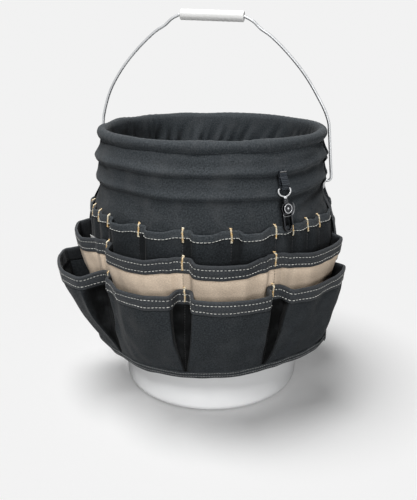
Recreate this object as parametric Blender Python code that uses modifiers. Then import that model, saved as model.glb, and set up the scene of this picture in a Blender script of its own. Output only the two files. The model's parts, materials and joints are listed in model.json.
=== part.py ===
"""Tool bucket organizer: a plastic pail with a wire bail, dressed in a cloth cover that has three
tiers of pockets outside and a snap clip on a webbing loop.

Metres, +Z up. The origin is the centre of the pail's underside, the bail's axis lies along X, and
the front panel is centred on -Y. An azimuth is measured in degrees from -Y towards +X.
"""

import math

import bmesh
import bpy
from mathutils import Matrix, Vector

# Pail
BASE_R = 0.1285
RIM_R = 0.1522
RIM_INNER_R = 0.1465
PAIL_TOP = 0.3665
NECK_R = 0.1485
FLANGE_R = 0.1548
FLANGE_HEIGHTS = (0.3390, 0.3095)
SHOULDER_Z = 0.2960
FLOOR_THICK = 0.0028
PAIL_STEPS = 40
EAR_R = 0.0120
EAR_FACE_X = 0.1575
EAR_ROOT_X = 0.1440

# Bail and grip
PIVOT_Z = 0.3000
WIRE_R = 0.0020
BORE_R = 0.0023
STUB_END_X = 0.1475
LEG_X = 0.1645
BEND_R = 0.0050
LEG_TOP = (0.1583, 0.3650)
GRIP_Z = 0.5095
GRIP_LENGTH = 0.0840
GRIP_R = 0.0068
GRIP_BORE_R = 0.0026
BAIL_LEAN = 0.04  # the hand-bent arch is a little higher at -X
ARCH = (
    (0.1560, 0.3800),
    (0.1478, 0.4020),
    (0.1350, 0.4245),
    (0.1190, 0.4465),
    (0.0980, 0.4690),
    (0.0775, 0.4870),
    (0.0640, 0.4955),
    (0.0540, 0.5040),
)

# Cloth
PANEL_EDGE = 82.0
SEAMS = (-82.0, -41.0, 0.0, 41.0, 82.0)
PANEL_COLUMNS = 24
PANEL_THICK = 0.0020
POCKET_THICK = 0.0015
BINDING_THICK = 0.0010
GAP = 0.0003
ROLL_THICK = 0.0020
FLAP_THICK = 0.0015
TAPE_WIDTH_DEG = 1.85
HEM_TOP = 0.0697
HEM_BOTTOM = 0.0605
# Height, radius of the panel's middle at its centre, and how much further out its side edges are
PANEL_ROWS = (
    (0.3520, 0.1535, 0.0),
    (0.3430, 0.1573, 0.0),
    (0.3340, 0.1568, 0.0),
    (0.3245, 0.1540, 0.0),
    (0.3150, 0.1575, 0.0),
    (0.3030, 0.1578, 0.0),
    (0.2940, 0.1572, 0.0),
    (0.2680, 0.1610, 0.0035),
    (0.2350, 0.1625, 0.0065),
    (0.1770, 0.1630, 0.0045),
    (0.1150, 0.1600, 0.0065),
    (0.0700, 0.1520, 0.0160),
)
# A tier's layer heights from its mouth down, each with its distance out from the panel's middle
TOP_LEVELS = ((0.2680, 0.00215), (0.2500, 0.00215), (0.2350, 0.00215), (0.2000, 0.00215))
MID_LEVELS = (
    (0.2350, 0.0060),
    (0.2150, 0.0056),
    (0.1950, 0.0042),
    (0.1770, 0.0024),
    (0.1150, 0.0024),
)
LOWER_LEVELS = (
    (0.1950, 0.0076),
    (0.1770, 0.0059),
    (0.1500, 0.0044),
    (0.1150, 0.0044),
    (0.0700, 0.0025),
)
MID_BINDING_BOTTOM = 0.2150
LOWER_BINDING_BOTTOM = 0.1770
LEAST_FADE = 0.05
WIDE_DEPTH = 0.0100
NARROW_DEPTH = 0.0030
NARROW_WIDTH = 10.25
MID_DEPTHS = {"front": (0.019, 0.015, 0.015, 0.015), "back": (0.015, 0.015, 0.015, 0.019)}
LOWER_DEPTHS = {"front": (0.045, 0.024, 0.024, 0.021), "back": (0.021, 0.024, 0.024, 0.032)}
# Where the folds of a pocket are, as shares of its width, and how much of its depth each has
TOP_WIDE_FOLDS = ((0.0, 0.0), (0.2, 0.0), (0.35, 0.9), (0.65, 0.9), (0.8, 0.0))
TOP_NARROW_FOLDS = ((0.0, 0.0), (0.42, 1.0), (0.58, 1.0))
MID_FOLDS = (
    (0.0, 0.0),
    (0.1, 0.0),
    (0.24, 0.5),
    (0.42, 1.0),
    (0.58, 1.0),
    (0.76, 0.5),
    (0.9, 0.0),
)
LOWER_FOLDS = (
    (0.0, 0.0),
    (0.093, 0.0),
    (0.108, 0.93),
    (0.36, 1.0),
    (0.64, 1.0),
    (0.892, 0.93),
    (0.907, 0.0),
)

# Snap clip
CLIP_AZIMUTH = 43.2
CLIP_PIVOT_R = 0.1645
CLIP_PIVOT_Z = 0.3140
CLIP_TILT = 13.0
STRAP_WIDTH = 0.0105
STRAP_THICK = 0.0012
EYE_WIRE_R = 0.0012
EYE_HALF_WIDTH = 0.0086
EYE_DROP = 0.0096
POST_R = 0.0014
POST_HEAD_R = 0.0020
DISC_Z = -0.0240
DISC_R = 0.0075
HOOK_THICK = 0.0036
HOOK_OUTER_R = 0.0063
HOOK_INNER_R = 0.0039
HOOK_BEND_Z = -0.0455
HUB_R = 0.0049
HUB_THICK = 0.0014
GATE_R = 0.0096
GATE_THICK = 0.0050
PIN_R = 0.0015
RUNNING_GAP = 0.0003
RECESS_R = 0.0044
RECESS_DEPTH = 0.0020

CLOTH_BLACK = (0.030, 0.032, 0.036)
CLOTH_CHARCOAL = (0.045, 0.047, 0.050)
CLOTH_TAN = (0.42, 0.33, 0.24)
PLASTIC_WHITE = (0.82, 0.82, 0.80)
STEEL = (0.60, 0.61, 0.62)
BLACK_METAL = (0.04, 0.04, 0.045)


# ---------------------------------------------------------------- scene and materials


def clear_scene():
    for obj in list(bpy.data.objects):
        bpy.data.objects.remove(obj, do_unlink=True)


def new_collection(name):
    made = bpy.data.collections.new(name)
    bpy.context.scene.collection.children.link(made)
    return made


def paint(obj, colour, roughness, metallic=0.0):
    """Gives an object a Principled material of its own."""
    made = bpy.data.materials.new(obj.name)
    made.use_nodes = True
    shader = made.node_tree.nodes["Principled BSDF"]
    shader.inputs["Base Color"].default_value = (*colour, 1.0)
    shader.inputs["Roughness"].default_value = roughness
    shader.inputs["Metallic"].default_value = metallic
    obj.data.materials.clear()
    obj.data.materials.append(made)
    return obj


def add_object(name, data, group):
    obj = bpy.data.objects.new(name, data)
    group.objects.link(obj)
    return obj


def shade(mesh):
    mesh.shade_smooth()
    mesh.set_sharp_from_angle(angle=math.radians(35))


# ---------------------------------------------------------------- shape helpers


def around(azimuth, r, z):
    angle = math.radians(azimuth)
    return Vector((r * math.sin(angle), -r * math.cos(angle), z))


def between(rows, z, column):
    """The value in a column of rows at height z, on straight lines between the rows."""
    for upper, lower in zip(rows, rows[1:]):
        if z >= lower[0]:
            share = (upper[0] - z) / (upper[0] - lower[0])
            return upper[column] + (lower[column] - upper[column]) * max(0.0, share)
    return rows[-1][column]


def smoothstep(t):
    t = min(1.0, max(0.0, t))
    return t * t * (3 - 2 * t)


def smooth_path(points, per_span):
    """Catmull-Rom points through the given ones, per_span to each span."""
    ends = [points[0] * 2 - points[1], *points, points[-1] * 2 - points[-2]]
    path = []
    for a, b, c, d in zip(ends, ends[1:], ends[2:], ends[3:]):
        for k in range(per_span):
            t = k / per_span
            path.append(
                0.5 * (2 * b + (c - a) * t + (2 * a - 5 * b + 4 * c - d) * t**2
                       + (3 * b - a - 3 * c + d) * t**3)
            )
    return [*path, points[-1]]


def offset_path(points, distance):
    """A flat open path moved sideways, mitred at its corners; positive is to the right of travel."""
    moved = []
    for i, p in enumerate(points):
        before = (p - points[i - 1]).normalized() if i else None
        after = (points[i + 1] - p).normalized() if i < len(points) - 1 else None
        sides = [Vector((d.y, -d.x)) for d in (before, after) if d]
        if len(sides) == 2:
            side = (sides[0] + sides[1]).normalized()
            side /= max(0.3, side.dot(sides[0]))
        else:
            side = p.normalized()
        moved.append(p + side * distance)
    return moved


def loft(name, rings, group):
    """A closed body through rings of matching points, capped at both ends.

    Each side face is split from its lower point on one ring to its upper point on the next, so that
    the facets of layers that lie on each other keep their gap.
    """
    shape = bmesh.new()
    rows = [[shape.verts.new(p) for p in ring] for ring in rings]
    for a, b in zip(rows, rows[1:]):
        for i in range(len(a)):
            j = (i + 1) % len(a)
            falling = a[i].co.z >= a[j].co.z
            halves = ((a[i], a[j], b[i]), (a[j], b[j], b[i])) if falling else (
                (a[i], a[j], b[j]), (a[i], b[j], b[i]))
            for half in halves:
                shape.faces.new(half)
    shape.faces.new(rows[0][::-1])
    shape.faces.new(rows[-1])
    bmesh.ops.recalc_face_normals(shape, faces=shape.faces)
    mesh = bpy.data.meshes.new(name)
    shape.to_mesh(mesh)
    shape.free()
    shade(mesh)
    return add_object(name, mesh, group)


def turned(name, profile, steps, group, closed=False):
    """A shape turned about Z from a profile of (radius, height) that runs down its outer side."""
    count = len(profile)
    edges = [(i, i + 1) for i in range(count - 1)]
    if closed:
        edges.append((count - 1, 0))
    mesh = bpy.data.meshes.new(name)
    mesh.from_pydata([(r, 0.0, z) for r, z in profile], edges, [])
    obj = add_object(name, mesh, group)
    screw = obj.modifiers.new("turn", "SCREW")
    screw.steps = steps
    screw.render_steps = steps
    screw.use_merge_vertices = True
    screw.merge_threshold = 0.00001
    screw.use_smooth_shade = True
    return obj


def cylinder(name, r, start, end, sides, group):
    """A capped cylinder between two points."""
    axis = end - start
    shape = bmesh.new()
    bmesh.ops.create_cone(shape, cap_ends=True, segments=sides, radius1=r, radius2=r,
                          depth=axis.length)
    mesh = bpy.data.meshes.new(name)
    shape.to_mesh(mesh)
    shape.free()
    shade(mesh)
    obj = add_object(name, mesh, group)
    turn = axis.to_track_quat("Z", "Y").to_matrix().to_4x4()
    obj.matrix_world = Matrix.Translation((start + end) / 2) @ turn
    return obj


def wire(name, points, r, group, cyclic=False, resolution=2):
    curve = bpy.data.curves.new(name, "CURVE")
    curve.dimensions = "3D"
    curve.bevel_depth = r
    curve.bevel_resolution = resolution
    curve.use_fill_caps = not cyclic
    spline = curve.splines.new("POLY")
    spline.points.add(len(points) - 1)
    for slot, p in zip(spline.points, points):
        slot.co = (*p, 1.0)
    spline.use_cyclic_u = cyclic
    return add_object(name, curve, group)


def plate(name, outline, thick, group):
    """A flat plate in the XZ plane, half its thickness to each side of it."""
    curve = bpy.data.curves.new(name, "CURVE")
    curve.dimensions = "2D"
    curve.fill_mode = "BOTH"
    curve.extrude = thick / 2
    spline = curve.splines.new("POLY")
    spline.points.add(len(outline) - 1)
    for slot, (x, z) in zip(spline.points, outline):
        slot.co = (x, z, 0.0, 1.0)
    spline.use_cyclic_u = True
    obj = add_object(name, curve, group)
    obj.rotation_euler.x = math.pi / 2
    return obj


def made_mesh(obj, group):
    """The object's evaluated shape as a welded mesh object of the same name."""
    bpy.context.view_layer.update()
    graph = bpy.context.evaluated_depsgraph_get()
    mesh = bpy.data.meshes.new_from_object(obj.evaluated_get(graph))
    place = obj.matrix_world.copy()
    name = obj.name
    bpy.data.objects.remove(obj, do_unlink=True)
    shape = bmesh.new()
    shape.from_mesh(mesh)
    shape.transform(place)
    bmesh.ops.remove_doubles(shape, verts=shape.verts, dist=0.000002)
    bmesh.ops.recalc_face_normals(shape, faces=shape.faces)
    shape.to_mesh(mesh)
    shape.free()
    shade(mesh)
    return add_object(name, mesh, group)


def combine(obj, other, operation):
    """A Boolean with another object, which becomes a hidden cutter."""
    other.hide_render = True
    other.display_type = "WIRE"
    step = obj.modifiers.new(other.name, "BOOLEAN")
    step.operation = operation
    step.solver = "EXACT"
    step.object = other
    return obj


def arc(cx, cz, r, start, end, count):
    """Points on an arc in the XZ plane, with angles in degrees from +X towards +Z."""
    angles = [math.radians(start + (end - start) * k / count) for k in range(count + 1)]
    return [(cx + r * math.cos(a), cz + r * math.sin(a)) for a in angles]


# ---------------------------------------------------------------- pail, bail and grip


def pail_outline():
    """Down the outside from the rim's inner edge, then back up the inside."""
    outside = [(RIM_INNER_R, PAIL_TOP), (RIM_R - 0.0012, PAIL_TOP), (RIM_R, PAIL_TOP - 0.0014)]
    outside += [(RIM_R, 0.3565), (NECK_R, 0.3540)]
    for z in FLANGE_HEIGHTS:
        outside += [(NECK_R, z + 0.004), (FLANGE_R, z + 0.002), (FLANGE_R, z - 0.002)]
        outside += [(NECK_R, z - 0.004)]
    outside += [(0.1445, SHOULDER_Z), (BASE_R, 0.0040), (BASE_R - 0.0025, 0.0), (0.0, 0.0)]
    inside = [(0.0, FLOOR_THICK), (BASE_R - 0.0050, FLOOR_THICK), (BASE_R - 0.0023, 0.0060)]
    inside += [(0.1422, SHOULDER_Z), (RIM_INNER_R - 0.0003, 0.3500)]
    return outside + inside + [outside[0]]


def pail(parts, cutters):
    shell = made_mesh(turned("pail_shell", pail_outline(), PAIL_STEPS, parts), parts)
    for side, word in ((-1, "left"), (1, "right")):
        centre = Vector((0, 0, PIVOT_Z))
        root, face = (centre + Vector((side * x, 0, 0)) for x in (EAR_ROOT_X, EAR_FACE_X))
        combine(shell, cylinder(f"ear_{word}", EAR_R, root, face, 20, cutters), "UNION")
        inner = centre + Vector((side * (STUB_END_X - 0.001), 0, 0))
        bore = cylinder(f"ear_bore_{word}", BORE_R, inner, face * 1.0 + Vector((side * 0.002, 0, 0)),
                        16, cutters)
        combine(shell, bore, "DIFFERENCE")
    return paint(shell, PLASTIC_WHITE, 0.35)


def bail_half():
    """From the pivot stub to the grip's end, for +X."""
    points = [(STUB_END_X, PIVOT_Z)]
    points += arc(LEG_X - BEND_R, PIVOT_Z + BEND_R, BEND_R, -90, 0, 4)
    knots = [Vector(p) for p in (LEG_TOP, *ARCH, (GRIP_LENGTH / 2 + 0.001, GRIP_Z))]
    smooth = smooth_path(knots, 2)
    return [Vector(p) for p in points] + smooth


def lean(x, z):
    """The height of a point of the bail after its arch leans."""
    return z - BAIL_LEAN * x * smoothstep((z - 0.370) / 0.050)


def bail(parts):
    half = bail_half()
    left = [Vector((-p.x, 0, lean(-p.x, p.y))) for p in half]
    right = [Vector((p.x, 0, lean(p.x, p.y))) for p in reversed(half)]
    obj = wire("bail_wire", left + right, WIRE_R, parts)
    pivot = Vector((0, 0, PIVOT_Z))
    for point in obj.data.splines[0].points:
        point.co.z -= pivot.z
    obj.location = pivot
    return paint(obj, STEEL, 0.3, 0.9)


def grip(parts):
    half = GRIP_LENGTH / 2
    profile = [(GRIP_BORE_R, half), (GRIP_R - 0.0012, half), (GRIP_R, half - 0.0014)]
    profile += [(GRIP_R, 0.0014 - half), (GRIP_R - 0.0012, -half), (GRIP_BORE_R, -half)]
    obj = turned("bail_grip", profile, 20, parts, closed=True)
    obj.location = (0, 0, GRIP_Z)
    obj.rotation_euler.y = math.pi / 2 + math.atan(BAIL_LEAN)
    return paint(obj, PLASTIC_WHITE, 0.4)


# ---------------------------------------------------------------- cloth cover


def panel_r(azimuth, z):
    """The radius of a panel's middle surface; the azimuth is from the panel's own centre."""
    flare = smoothstep((abs(azimuth) - SEAMS[3]) / SEAMS[3])
    return between(PANEL_ROWS, z, 1) + between(PANEL_ROWS, z, 2) * flare


def facing(side, azimuth):
    return azimuth if side == "front" else azimuth + 180.0


def panel(side, parts):
    half = PANEL_THICK / 2
    rings = []
    for k in range(PANEL_COLUMNS + 1):
        azimuth = -PANEL_EDGE + 2 * PANEL_EDGE * k / PANEL_COLUMNS
        outer = [around(facing(side, azimuth), panel_r(azimuth, row[0]) + half, row[0])
                 for row in PANEL_ROWS]
        inner = [around(facing(side, azimuth), panel_r(azimuth, row[0]) - half, row[0])
                 for row in reversed(PANEL_ROWS)]
        rings.append(outer + inner)
    return paint(loft(f"{side}_panel", rings, parts), CLOTH_CHARCOAL, 0.9)


def tier_folds(tier, side):
    """(azimuth, depth out from the tier's layer) for each fold of a tier, from its left end."""
    folds = []
    if tier == "top":
        widths = [NARROW_WIDTH] * 4 + [2 * NARROW_WIDTH] * 4 + [NARROW_WIDTH] * 4
        start = -PANEL_EDGE
        for width in widths:
            wide = width > NARROW_WIDTH
            shape, depth = (TOP_WIDE_FOLDS, WIDE_DEPTH) if wide else (TOP_NARROW_FOLDS, NARROW_DEPTH)
            folds += [(start + width * u, depth * out) for u, out in shape]
            start += width
    else:
        shape, depths = (MID_FOLDS, MID_DEPTHS) if tier == "mid" else (LOWER_FOLDS, LOWER_DEPTHS)
        for start, end, depth in zip(SEAMS, SEAMS[1:], depths[side]):
            folds += [(start + (end - start) * u, depth * out) for u, out in shape]
    return [*folds, (PANEL_EDGE, 0.0)]


def fade(tier, levels, z):
    """How much of its depth a pocket has at a height: all at its mouth, almost none at its foot."""
    share = (z - levels[-1][0]) / (levels[0][0] - levels[-1][0])
    curve = {"top": share**2, "mid": share, "lower": math.sin(share * math.pi / 2)}[tier]
    return LEAST_FADE + (1 - LEAST_FADE) * curve


def tier_path(tier, side, levels, z):
    """The middle of a tier's cloth at a height, as flat points from its left end to its right."""
    points = []
    for azimuth, depth in tier_folds(tier, side):
        r = panel_r(azimuth, z) + between(levels, z, 1) + depth * fade(tier, levels, z)
        points.append(around(facing(side, azimuth), r, 0).xy)
    return points


def tier_body(name, tier, side, levels, section, parts):
    """A body along a tier, whose section is a closed list of (height, distance out)."""
    columns = []
    for z, out in section:
        path = offset_path(tier_path(tier, side, levels, z), out)
        columns.append([Vector((p.x, p.y, z)) for p in path])
    return loft(name, list(zip(*columns)), parts)


def pockets(tier, side, levels, colour, parts, bound):
    """A tier's strip of pocket cloth. Where its mouth is bound it ends just under the binding."""
    half = POCKET_THICK / 2
    heights = [z for z, _ in levels]
    if bound:
        heights[0] -= BINDING_THICK + GAP
    section = [(z, half) for z in heights] + [(z, -half) for z in reversed(heights)]
    return paint(tier_body(f"{tier}_pockets_{side}", tier, side, levels, section, parts), colour, 0.9)


def binding(tier, side, levels, bottom, parts):
    """The folded tape over a tier's mouth, an upside-down U in section."""
    inner = POCKET_THICK / 2 + GAP
    outer = inner + BINDING_THICK
    top = levels[0][0]
    roof = top - BINDING_THICK
    section = [(top, outer), (bottom, outer), (bottom, inner), (roof, inner)]
    section += [(roof, -inner), (bottom, -inner), (bottom, -outer), (top, -outer)]
    obj = tier_body(f"{tier}_binding_{side}", tier, side, levels, section, parts)
    return paint(obj, CLOTH_BLACK, 0.8)


def hem_binding(side, parts):
    """The tape round the foot of a panel and of its lowest pockets."""
    rings = []
    for k in range(PANEL_COLUMNS + 1):
        azimuth = -PANEL_EDGE + 2 * PANEL_EDGE * k / PANEL_COLUMNS
        r = panel_r(azimuth, HEM_TOP)
        ring = [(r + 0.0042, HEM_TOP), (r + 0.0036, HEM_BOTTOM)]
        ring += [(r - 0.0010, HEM_BOTTOM), (r - 0.0015, HEM_TOP)]
        rings.append([around(facing(side, azimuth), *point) for point in ring])
    return paint(loft(f"hem_binding_{side}", rings, parts), CLOTH_BLACK, 0.8)


def slit_tape(side, word, parts):
    """The tape down one side edge of a panel, over the ends of all its layers."""
    outs = {0.2680: 0.0034, 0.2350: 0.0082, 0.1770: 0.0082, 0.1150: 0.0056, 0.0700: 0.0044}
    sign = -1 if word == "left" else 1
    rings = []
    for z, _, _ in (*PANEL_ROWS, (HEM_BOTTOM, 0, 0)):
        r = panel_r(PANEL_EDGE, z)
        out = outs.get(z, 0.0044 if z < HEM_TOP else 0.0013)
        near, far = (sign * (PANEL_EDGE + d) for d in (0.15, TAPE_WIDTH_DEG))
        rings.append([around(facing(side, a), rr, z) for a, rr in
                      ((near, r - 0.0013), (near, r + out), (far, r + out * 0.8), (far, r - 0.0013))])
    return paint(loft(f"slit_tape_{side}_{word}", rings, parts), CLOTH_BLACK, 0.8)


def rim_roll(parts):
    """The cloth that goes up over the pail's rim, an upside-down U turned about Z."""
    middle = [(0.1540, 0.3523), (0.1545, 0.3600), (0.1537, 0.3655), (0.1510, 0.3690)]
    middle += [(0.1462, 0.3690), (0.1438, 0.3655), (0.1428, 0.3600), (0.1424, 0.3523)]
    ups = [Vector(p) for p in middle]
    out = ROLL_THICK / 2
    outer = offset_flat(ups, out)
    inner = offset_flat(ups, -out)
    profile = [tuple(p) for p in reversed(outer)] + [tuple(p) for p in inner]
    return paint(turned("rim_roll", profile, PAIL_STEPS, parts, closed=True), CLOTH_CHARCOAL, 0.9)


def offset_flat(points, distance):
    """Like offset_path, with square ends."""
    moved = offset_path(points, distance)
    for end, near in ((0, 1), (-1, -2)):
        way = (points[near] - points[end]).normalized() * (1 if end == 0 else -1)
        moved[end] = points[end] + Vector((way.y, -way.x)) * distance
    return moved


def inner_flap(parts):
    """The skirt that hangs inside the pail."""
    outer = [(0.1434, 0.3518), (0.1402, 0.2960), (0.1374, 0.2402)]
    inner = [(r - FLAP_THICK, z) for r, z in reversed(outer)]
    return paint(turned("inner_flap", outer + inner, PAIL_STEPS, parts, closed=True), CLOTH_BLACK, 0.9)


def inner_hem(parts):
    profile = [(0.1370, 0.2398), (0.1362, 0.2230), (0.1338, 0.2230), (0.1346, 0.2398)]
    return paint(turned("inner_hem", profile, PAIL_STEPS, parts, closed=True), CLOTH_BLACK, 0.9)


def care_label(parts):
    """A small blank label inside the mouth of the left middle pocket."""
    azimuth, z = -53.0, 0.2262
    shape = bmesh.new()
    bmesh.ops.create_cube(shape, size=1.0)
    bmesh.ops.scale(shape, vec=(0.0150, 0.0006, 0.0140), verts=shape.verts)
    mesh = bpy.data.meshes.new("care_label")
    shape.to_mesh(mesh)
    shape.free()
    obj = add_object("care_label", mesh, parts)
    r = panel_r(azimuth, z) + TOP_LEVELS[0][1] + POCKET_THICK / 2 + 0.0052
    obj.location = around(azimuth, r, z)
    obj.rotation_euler.z = math.radians(azimuth)
    return paint(obj, (0.75, 0.75, 0.73), 0.8)


# ---------------------------------------------------------------- snap clip


def clip_places():
    """The clip's frame: X to the right along the cloth, Y into it, Z up, at the pivot."""
    pivot = around(CLIP_AZIMUTH, CLIP_PIVOT_R, CLIP_PIVOT_Z)
    upright = Matrix.Translation(pivot) @ Matrix.Rotation(math.radians(CLIP_AZIMUTH), 4, "Z")
    return upright, upright @ Matrix.Rotation(math.radians(-CLIP_TILT), 4, "X")


def clip_strap(place, parts):
    """The webbing loop, sewn flat at its top, that goes round the eye's bar."""
    back = [(0.0056, 0.0195), (0.0024, 0.0045)]
    loop = arc(0, 0, 0.0022, 20, -200, 8)
    front = [(-0.0024, 0.0045), (0.0040, 0.0195)]
    middle = [Vector(p) for p in back + loop + front]
    one = offset_flat(middle, STRAP_THICK / 2)
    other = offset_flat(middle, -STRAP_THICK / 2)
    outline = [*one, *reversed(other)]
    ends = (-STRAP_WIDTH / 2, STRAP_WIDTH / 2)
    rings = [[place @ Vector((x, p.x, p.y)) for p in outline] for x in ends]
    return paint(loft("clip_strap", rings, parts), CLOTH_BLACK, 0.8)


def clip_eye(place, parts, cutters):
    """A D-shaped loop with a swivel post under it."""
    w, corner = EYE_HALF_WIDTH, 0.0014
    outline = arc(w - corner, -corner, corner, 90, 0, 3)
    outline += arc(0, -0.0036, w, 0, -180, 12)[1:-1]
    outline = [(x, z if z > -0.0036 else -0.0036 + (z + 0.0036) * 0.86) for x, z in outline]
    outline += arc(corner - w, -corner, corner, 180, 90, 3)
    path = [Vector((x, 0, z)) for x, z in outline]
    loop = made_mesh(wire("clip_eye", path, EYE_WIRE_R, parts, cyclic=True), parts)
    top = -EYE_DROP + 0.0004
    profile = [(0.0, top), (0.0016, top), (0.0024, top - 0.0012), (0.0020, -0.0126)]
    profile += [(POST_R, -0.0126), (POST_R, -0.0153), (POST_HEAD_R, -0.0153)]
    profile += [(POST_HEAD_R, -0.0176), (0.0, -0.0176)]
    post = made_mesh(turned("clip_eye_post", profile, 12, cutters), cutters)
    combine(loop, post, "UNION")
    loop.matrix_world = place
    post.matrix_world = place
    return paint(loop, STEEL, 0.3, 1.0)


def hook_outline():
    """Barrel, disc and J-shaped hook in one flat outline, open on its right side."""
    bend, outer, inner = HOOK_BEND_Z, HOOK_OUTER_R, HOOK_INNER_R
    points = [(-0.0024, -0.0150)]
    points += arc(0, DISC_Z, DISC_R, 112, 215, 6)
    points += [(-outer, -0.0315)]
    points += arc(0, bend, outer, 180, 360, 10)
    points += [(outer, bend + 0.0006), (inner, bend + 0.0006)]
    points += arc(0, bend, inner, 0, -180, 8)
    points += [(-inner, -0.0330)]
    points += arc(0, DISC_Z, DISC_R, 245, 428, 10)
    return points + [(0.0024, -0.0150)]


def clip_hook(place, parts, cutters):
    hook = made_mesh(plate("clip_hook", hook_outline(), HOOK_THICK, parts), parts)
    barrel_profile = [(0.0, -0.0129), (0.0026, -0.0129), (0.0032, -0.0135)]
    barrel_profile += [(0.0032, -0.0182), (0.0026, -0.0188), (0.0, -0.0188)]
    barrel = made_mesh(turned("hook_barrel", barrel_profile, 14, cutters), cutters)
    combine(hook, barrel, "UNION")
    gap = RUNNING_GAP
    bore_profile = [(0.0, -0.0120), (POST_R + gap, -0.0120), (POST_R + gap, -0.0150)]
    bore_profile += [(POST_HEAD_R + gap, -0.0150), (POST_HEAD_R + gap, -0.0180), (0.0, -0.0180)]
    bore = made_mesh(turned("hook_socket", bore_profile, 12, cutters), cutters)
    combine(hook, bore, "DIFFERENCE")
    centre = Vector((0, 0, DISC_Z))
    front = -HOOK_THICK / 2
    recess = cylinder("spring_recess", RECESS_R, centre + Vector((0, front - 0.001, 0)),
                      centre + Vector((0, front + RECESS_DEPTH, 0)), 20, cutters)
    combine(hook, recess, "DIFFERENCE")
    hole = cylinder("pin_hole", PIN_R + gap, centre + Vector((0, -0.004, 0)),
                    centre + Vector((0, 0.004, 0)), 12, cutters)
    combine(hook, hole, "DIFFERENCE")
    for obj in (hook, barrel, bore):
        obj.matrix_world = place
    for obj in (recess, hole):
        obj.matrix_world = place @ obj.matrix_world
    return paint(hook, BLACK_METAL, 0.35, 0.8)


def clip_gate(place, parts, cutters):
    """The sprung lever that closes the hook: a hub plate in front, an arm and a thumb tab."""
    front = -HOOK_THICK / 2
    hub = [*arc(0, DISC_Z, HUB_R, 60, 300, 10), *arc(0, DISC_Z, GATE_R - 0.0005, -54, 22, 7)]
    face = made_mesh(plate("clip_gate", hub, HUB_THICK, parts), parts)
    face.data.transform(Matrix.Translation((0, front - GAP - HUB_THICK / 2, 0)))
    inner_arc = DISC_R + 0.0006
    arm = [*arc(0, DISC_Z, inner_arc, 26, -60, 8), (HOOK_INNER_R, -0.0325)]
    arm += [(HOOK_INNER_R + 0.0002, HOOK_BEND_Z + 0.0010), (0.0061, HOOK_BEND_Z + 0.0010)]
    arm += [(0.0062, -0.0320)] + arc(0, DISC_Z, GATE_R, -50, 26, 8)
    deep = made_mesh(plate("gate_arm", arm, GATE_THICK, cutters), cutters)
    proud = 0.0002
    deep.data.transform(Matrix.Translation((0, front - GAP - HUB_THICK - proud + GATE_THICK / 2, 0)))
    combine(face, deep, "UNION")
    centre = Vector((0, 0, DISC_Z))
    hole = cylinder("gate_hole", PIN_R + RUNNING_GAP, centre + Vector((0, -0.008, 0)),
                    centre + Vector((0, 0.004, 0)), 12, cutters)
    combine(face, hole, "DIFFERENCE")
    for obj in (face, deep):
        obj.matrix_world = place
    hole.matrix_world = place @ hole.matrix_world
    return paint(face, BLACK_METAL, 0.3, 0.8)


def clip_pin(place, parts):
    """The rivet that the gate turns on, with a round head in front of it and one behind."""
    front, back = -HOOK_THICK / 2 - HUB_THICK - 2 * GAP, HOOK_THICK / 2 + GAP
    profile = [(0.0, -front + 0.0009), (0.0016, -front + 0.0007), (0.0025, -front)]
    profile += [(PIN_R, -front), (PIN_R, -back), (0.0025, -back), (0.0025, -back - 0.0005)]
    profile += [(0.0, -back - 0.0005)]
    pin = turned("clip_gate_pin", profile, 12, parts)
    turn = Matrix.Translation((0, 0, DISC_Z)) @ Matrix.Rotation(math.pi / 2, 4, "X")
    pin.matrix_world = place @ turn
    return paint(pin, STEEL, 0.3, 1.0)


def clip_spring(place, parts):
    """The small coil round the pin, inside its recess."""
    turns, steps, r, wire_r = 2, 10, 0.0030, 0.00022
    height = RECESS_DEPTH - 2 * wire_r - 0.0003
    base = -HOOK_THICK / 2 + wire_r + 0.00015
    points = []
    for k in range(turns * steps + 1):
        angle = 2 * math.pi * k / steps
        y = base + height * k / (turns * steps)
        points.append(Vector((r * math.cos(angle), y, DISC_Z + r * math.sin(angle))))
    spring = wire("clip_gate_spring", points, wire_r, parts, resolution=1)
    spring.matrix_world = place
    return paint(spring, STEEL, 0.3, 1.0)


# ---------------------------------------------------------------- assembly


def cover(parts):
    rim_roll(parts)
    inner_flap(parts)
    inner_hem(parts)
    for side in ("front", "back"):
        panel(side, parts)
        pockets("top", side, TOP_LEVELS, CLOTH_BLACK, parts, bound=False)
        pockets("mid", side, MID_LEVELS, CLOTH_TAN, parts, bound=True)
        pockets("lower", side, LOWER_LEVELS, CLOTH_BLACK, parts, bound=True)
        binding("mid", side, MID_LEVELS, MID_BINDING_BOTTOM, parts)
        binding("lower", side, LOWER_LEVELS, LOWER_BINDING_BOTTOM, parts)
        hem_binding(side, parts)
        for word in ("left", "right"):
            slit_tape(side, word, parts)
    care_label(parts)


def clip(parts, cutters):
    upright, tilted = clip_places()
    clip_strap(upright, parts)
    clip_eye(tilted, parts, cutters)
    clip_hook(tilted, parts, cutters)
    clip_gate(tilted, parts, cutters)
    clip_pin(tilted, parts)
    clip_spring(tilted, parts)


def main():
    clear_scene()
    parts = new_collection("tool_bucket_organizer")
    cutters = new_collection("cutters")
    pail(parts, cutters)
    bail(parts)
    grip(parts)
    cover(parts)
    clip(parts, cutters)
    bpy.context.view_layer.update()


main()
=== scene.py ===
"""Looks of the tool bucket organizer: sewn cloth on a white pail, with a wire bail and a snap clip.

Metres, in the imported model's frame: +Z up, the bail's axis along X, the front panel centred on -Y.
An azimuth is in degrees from -Y towards +X. A cloth piece is a grid of points whose rows run down
from its top edge and whose columns run to the right, seen from outside.
"""
import json
import math

import bmesh
import bpy
import numpy as np
from mathutils import Matrix, Vector

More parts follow.
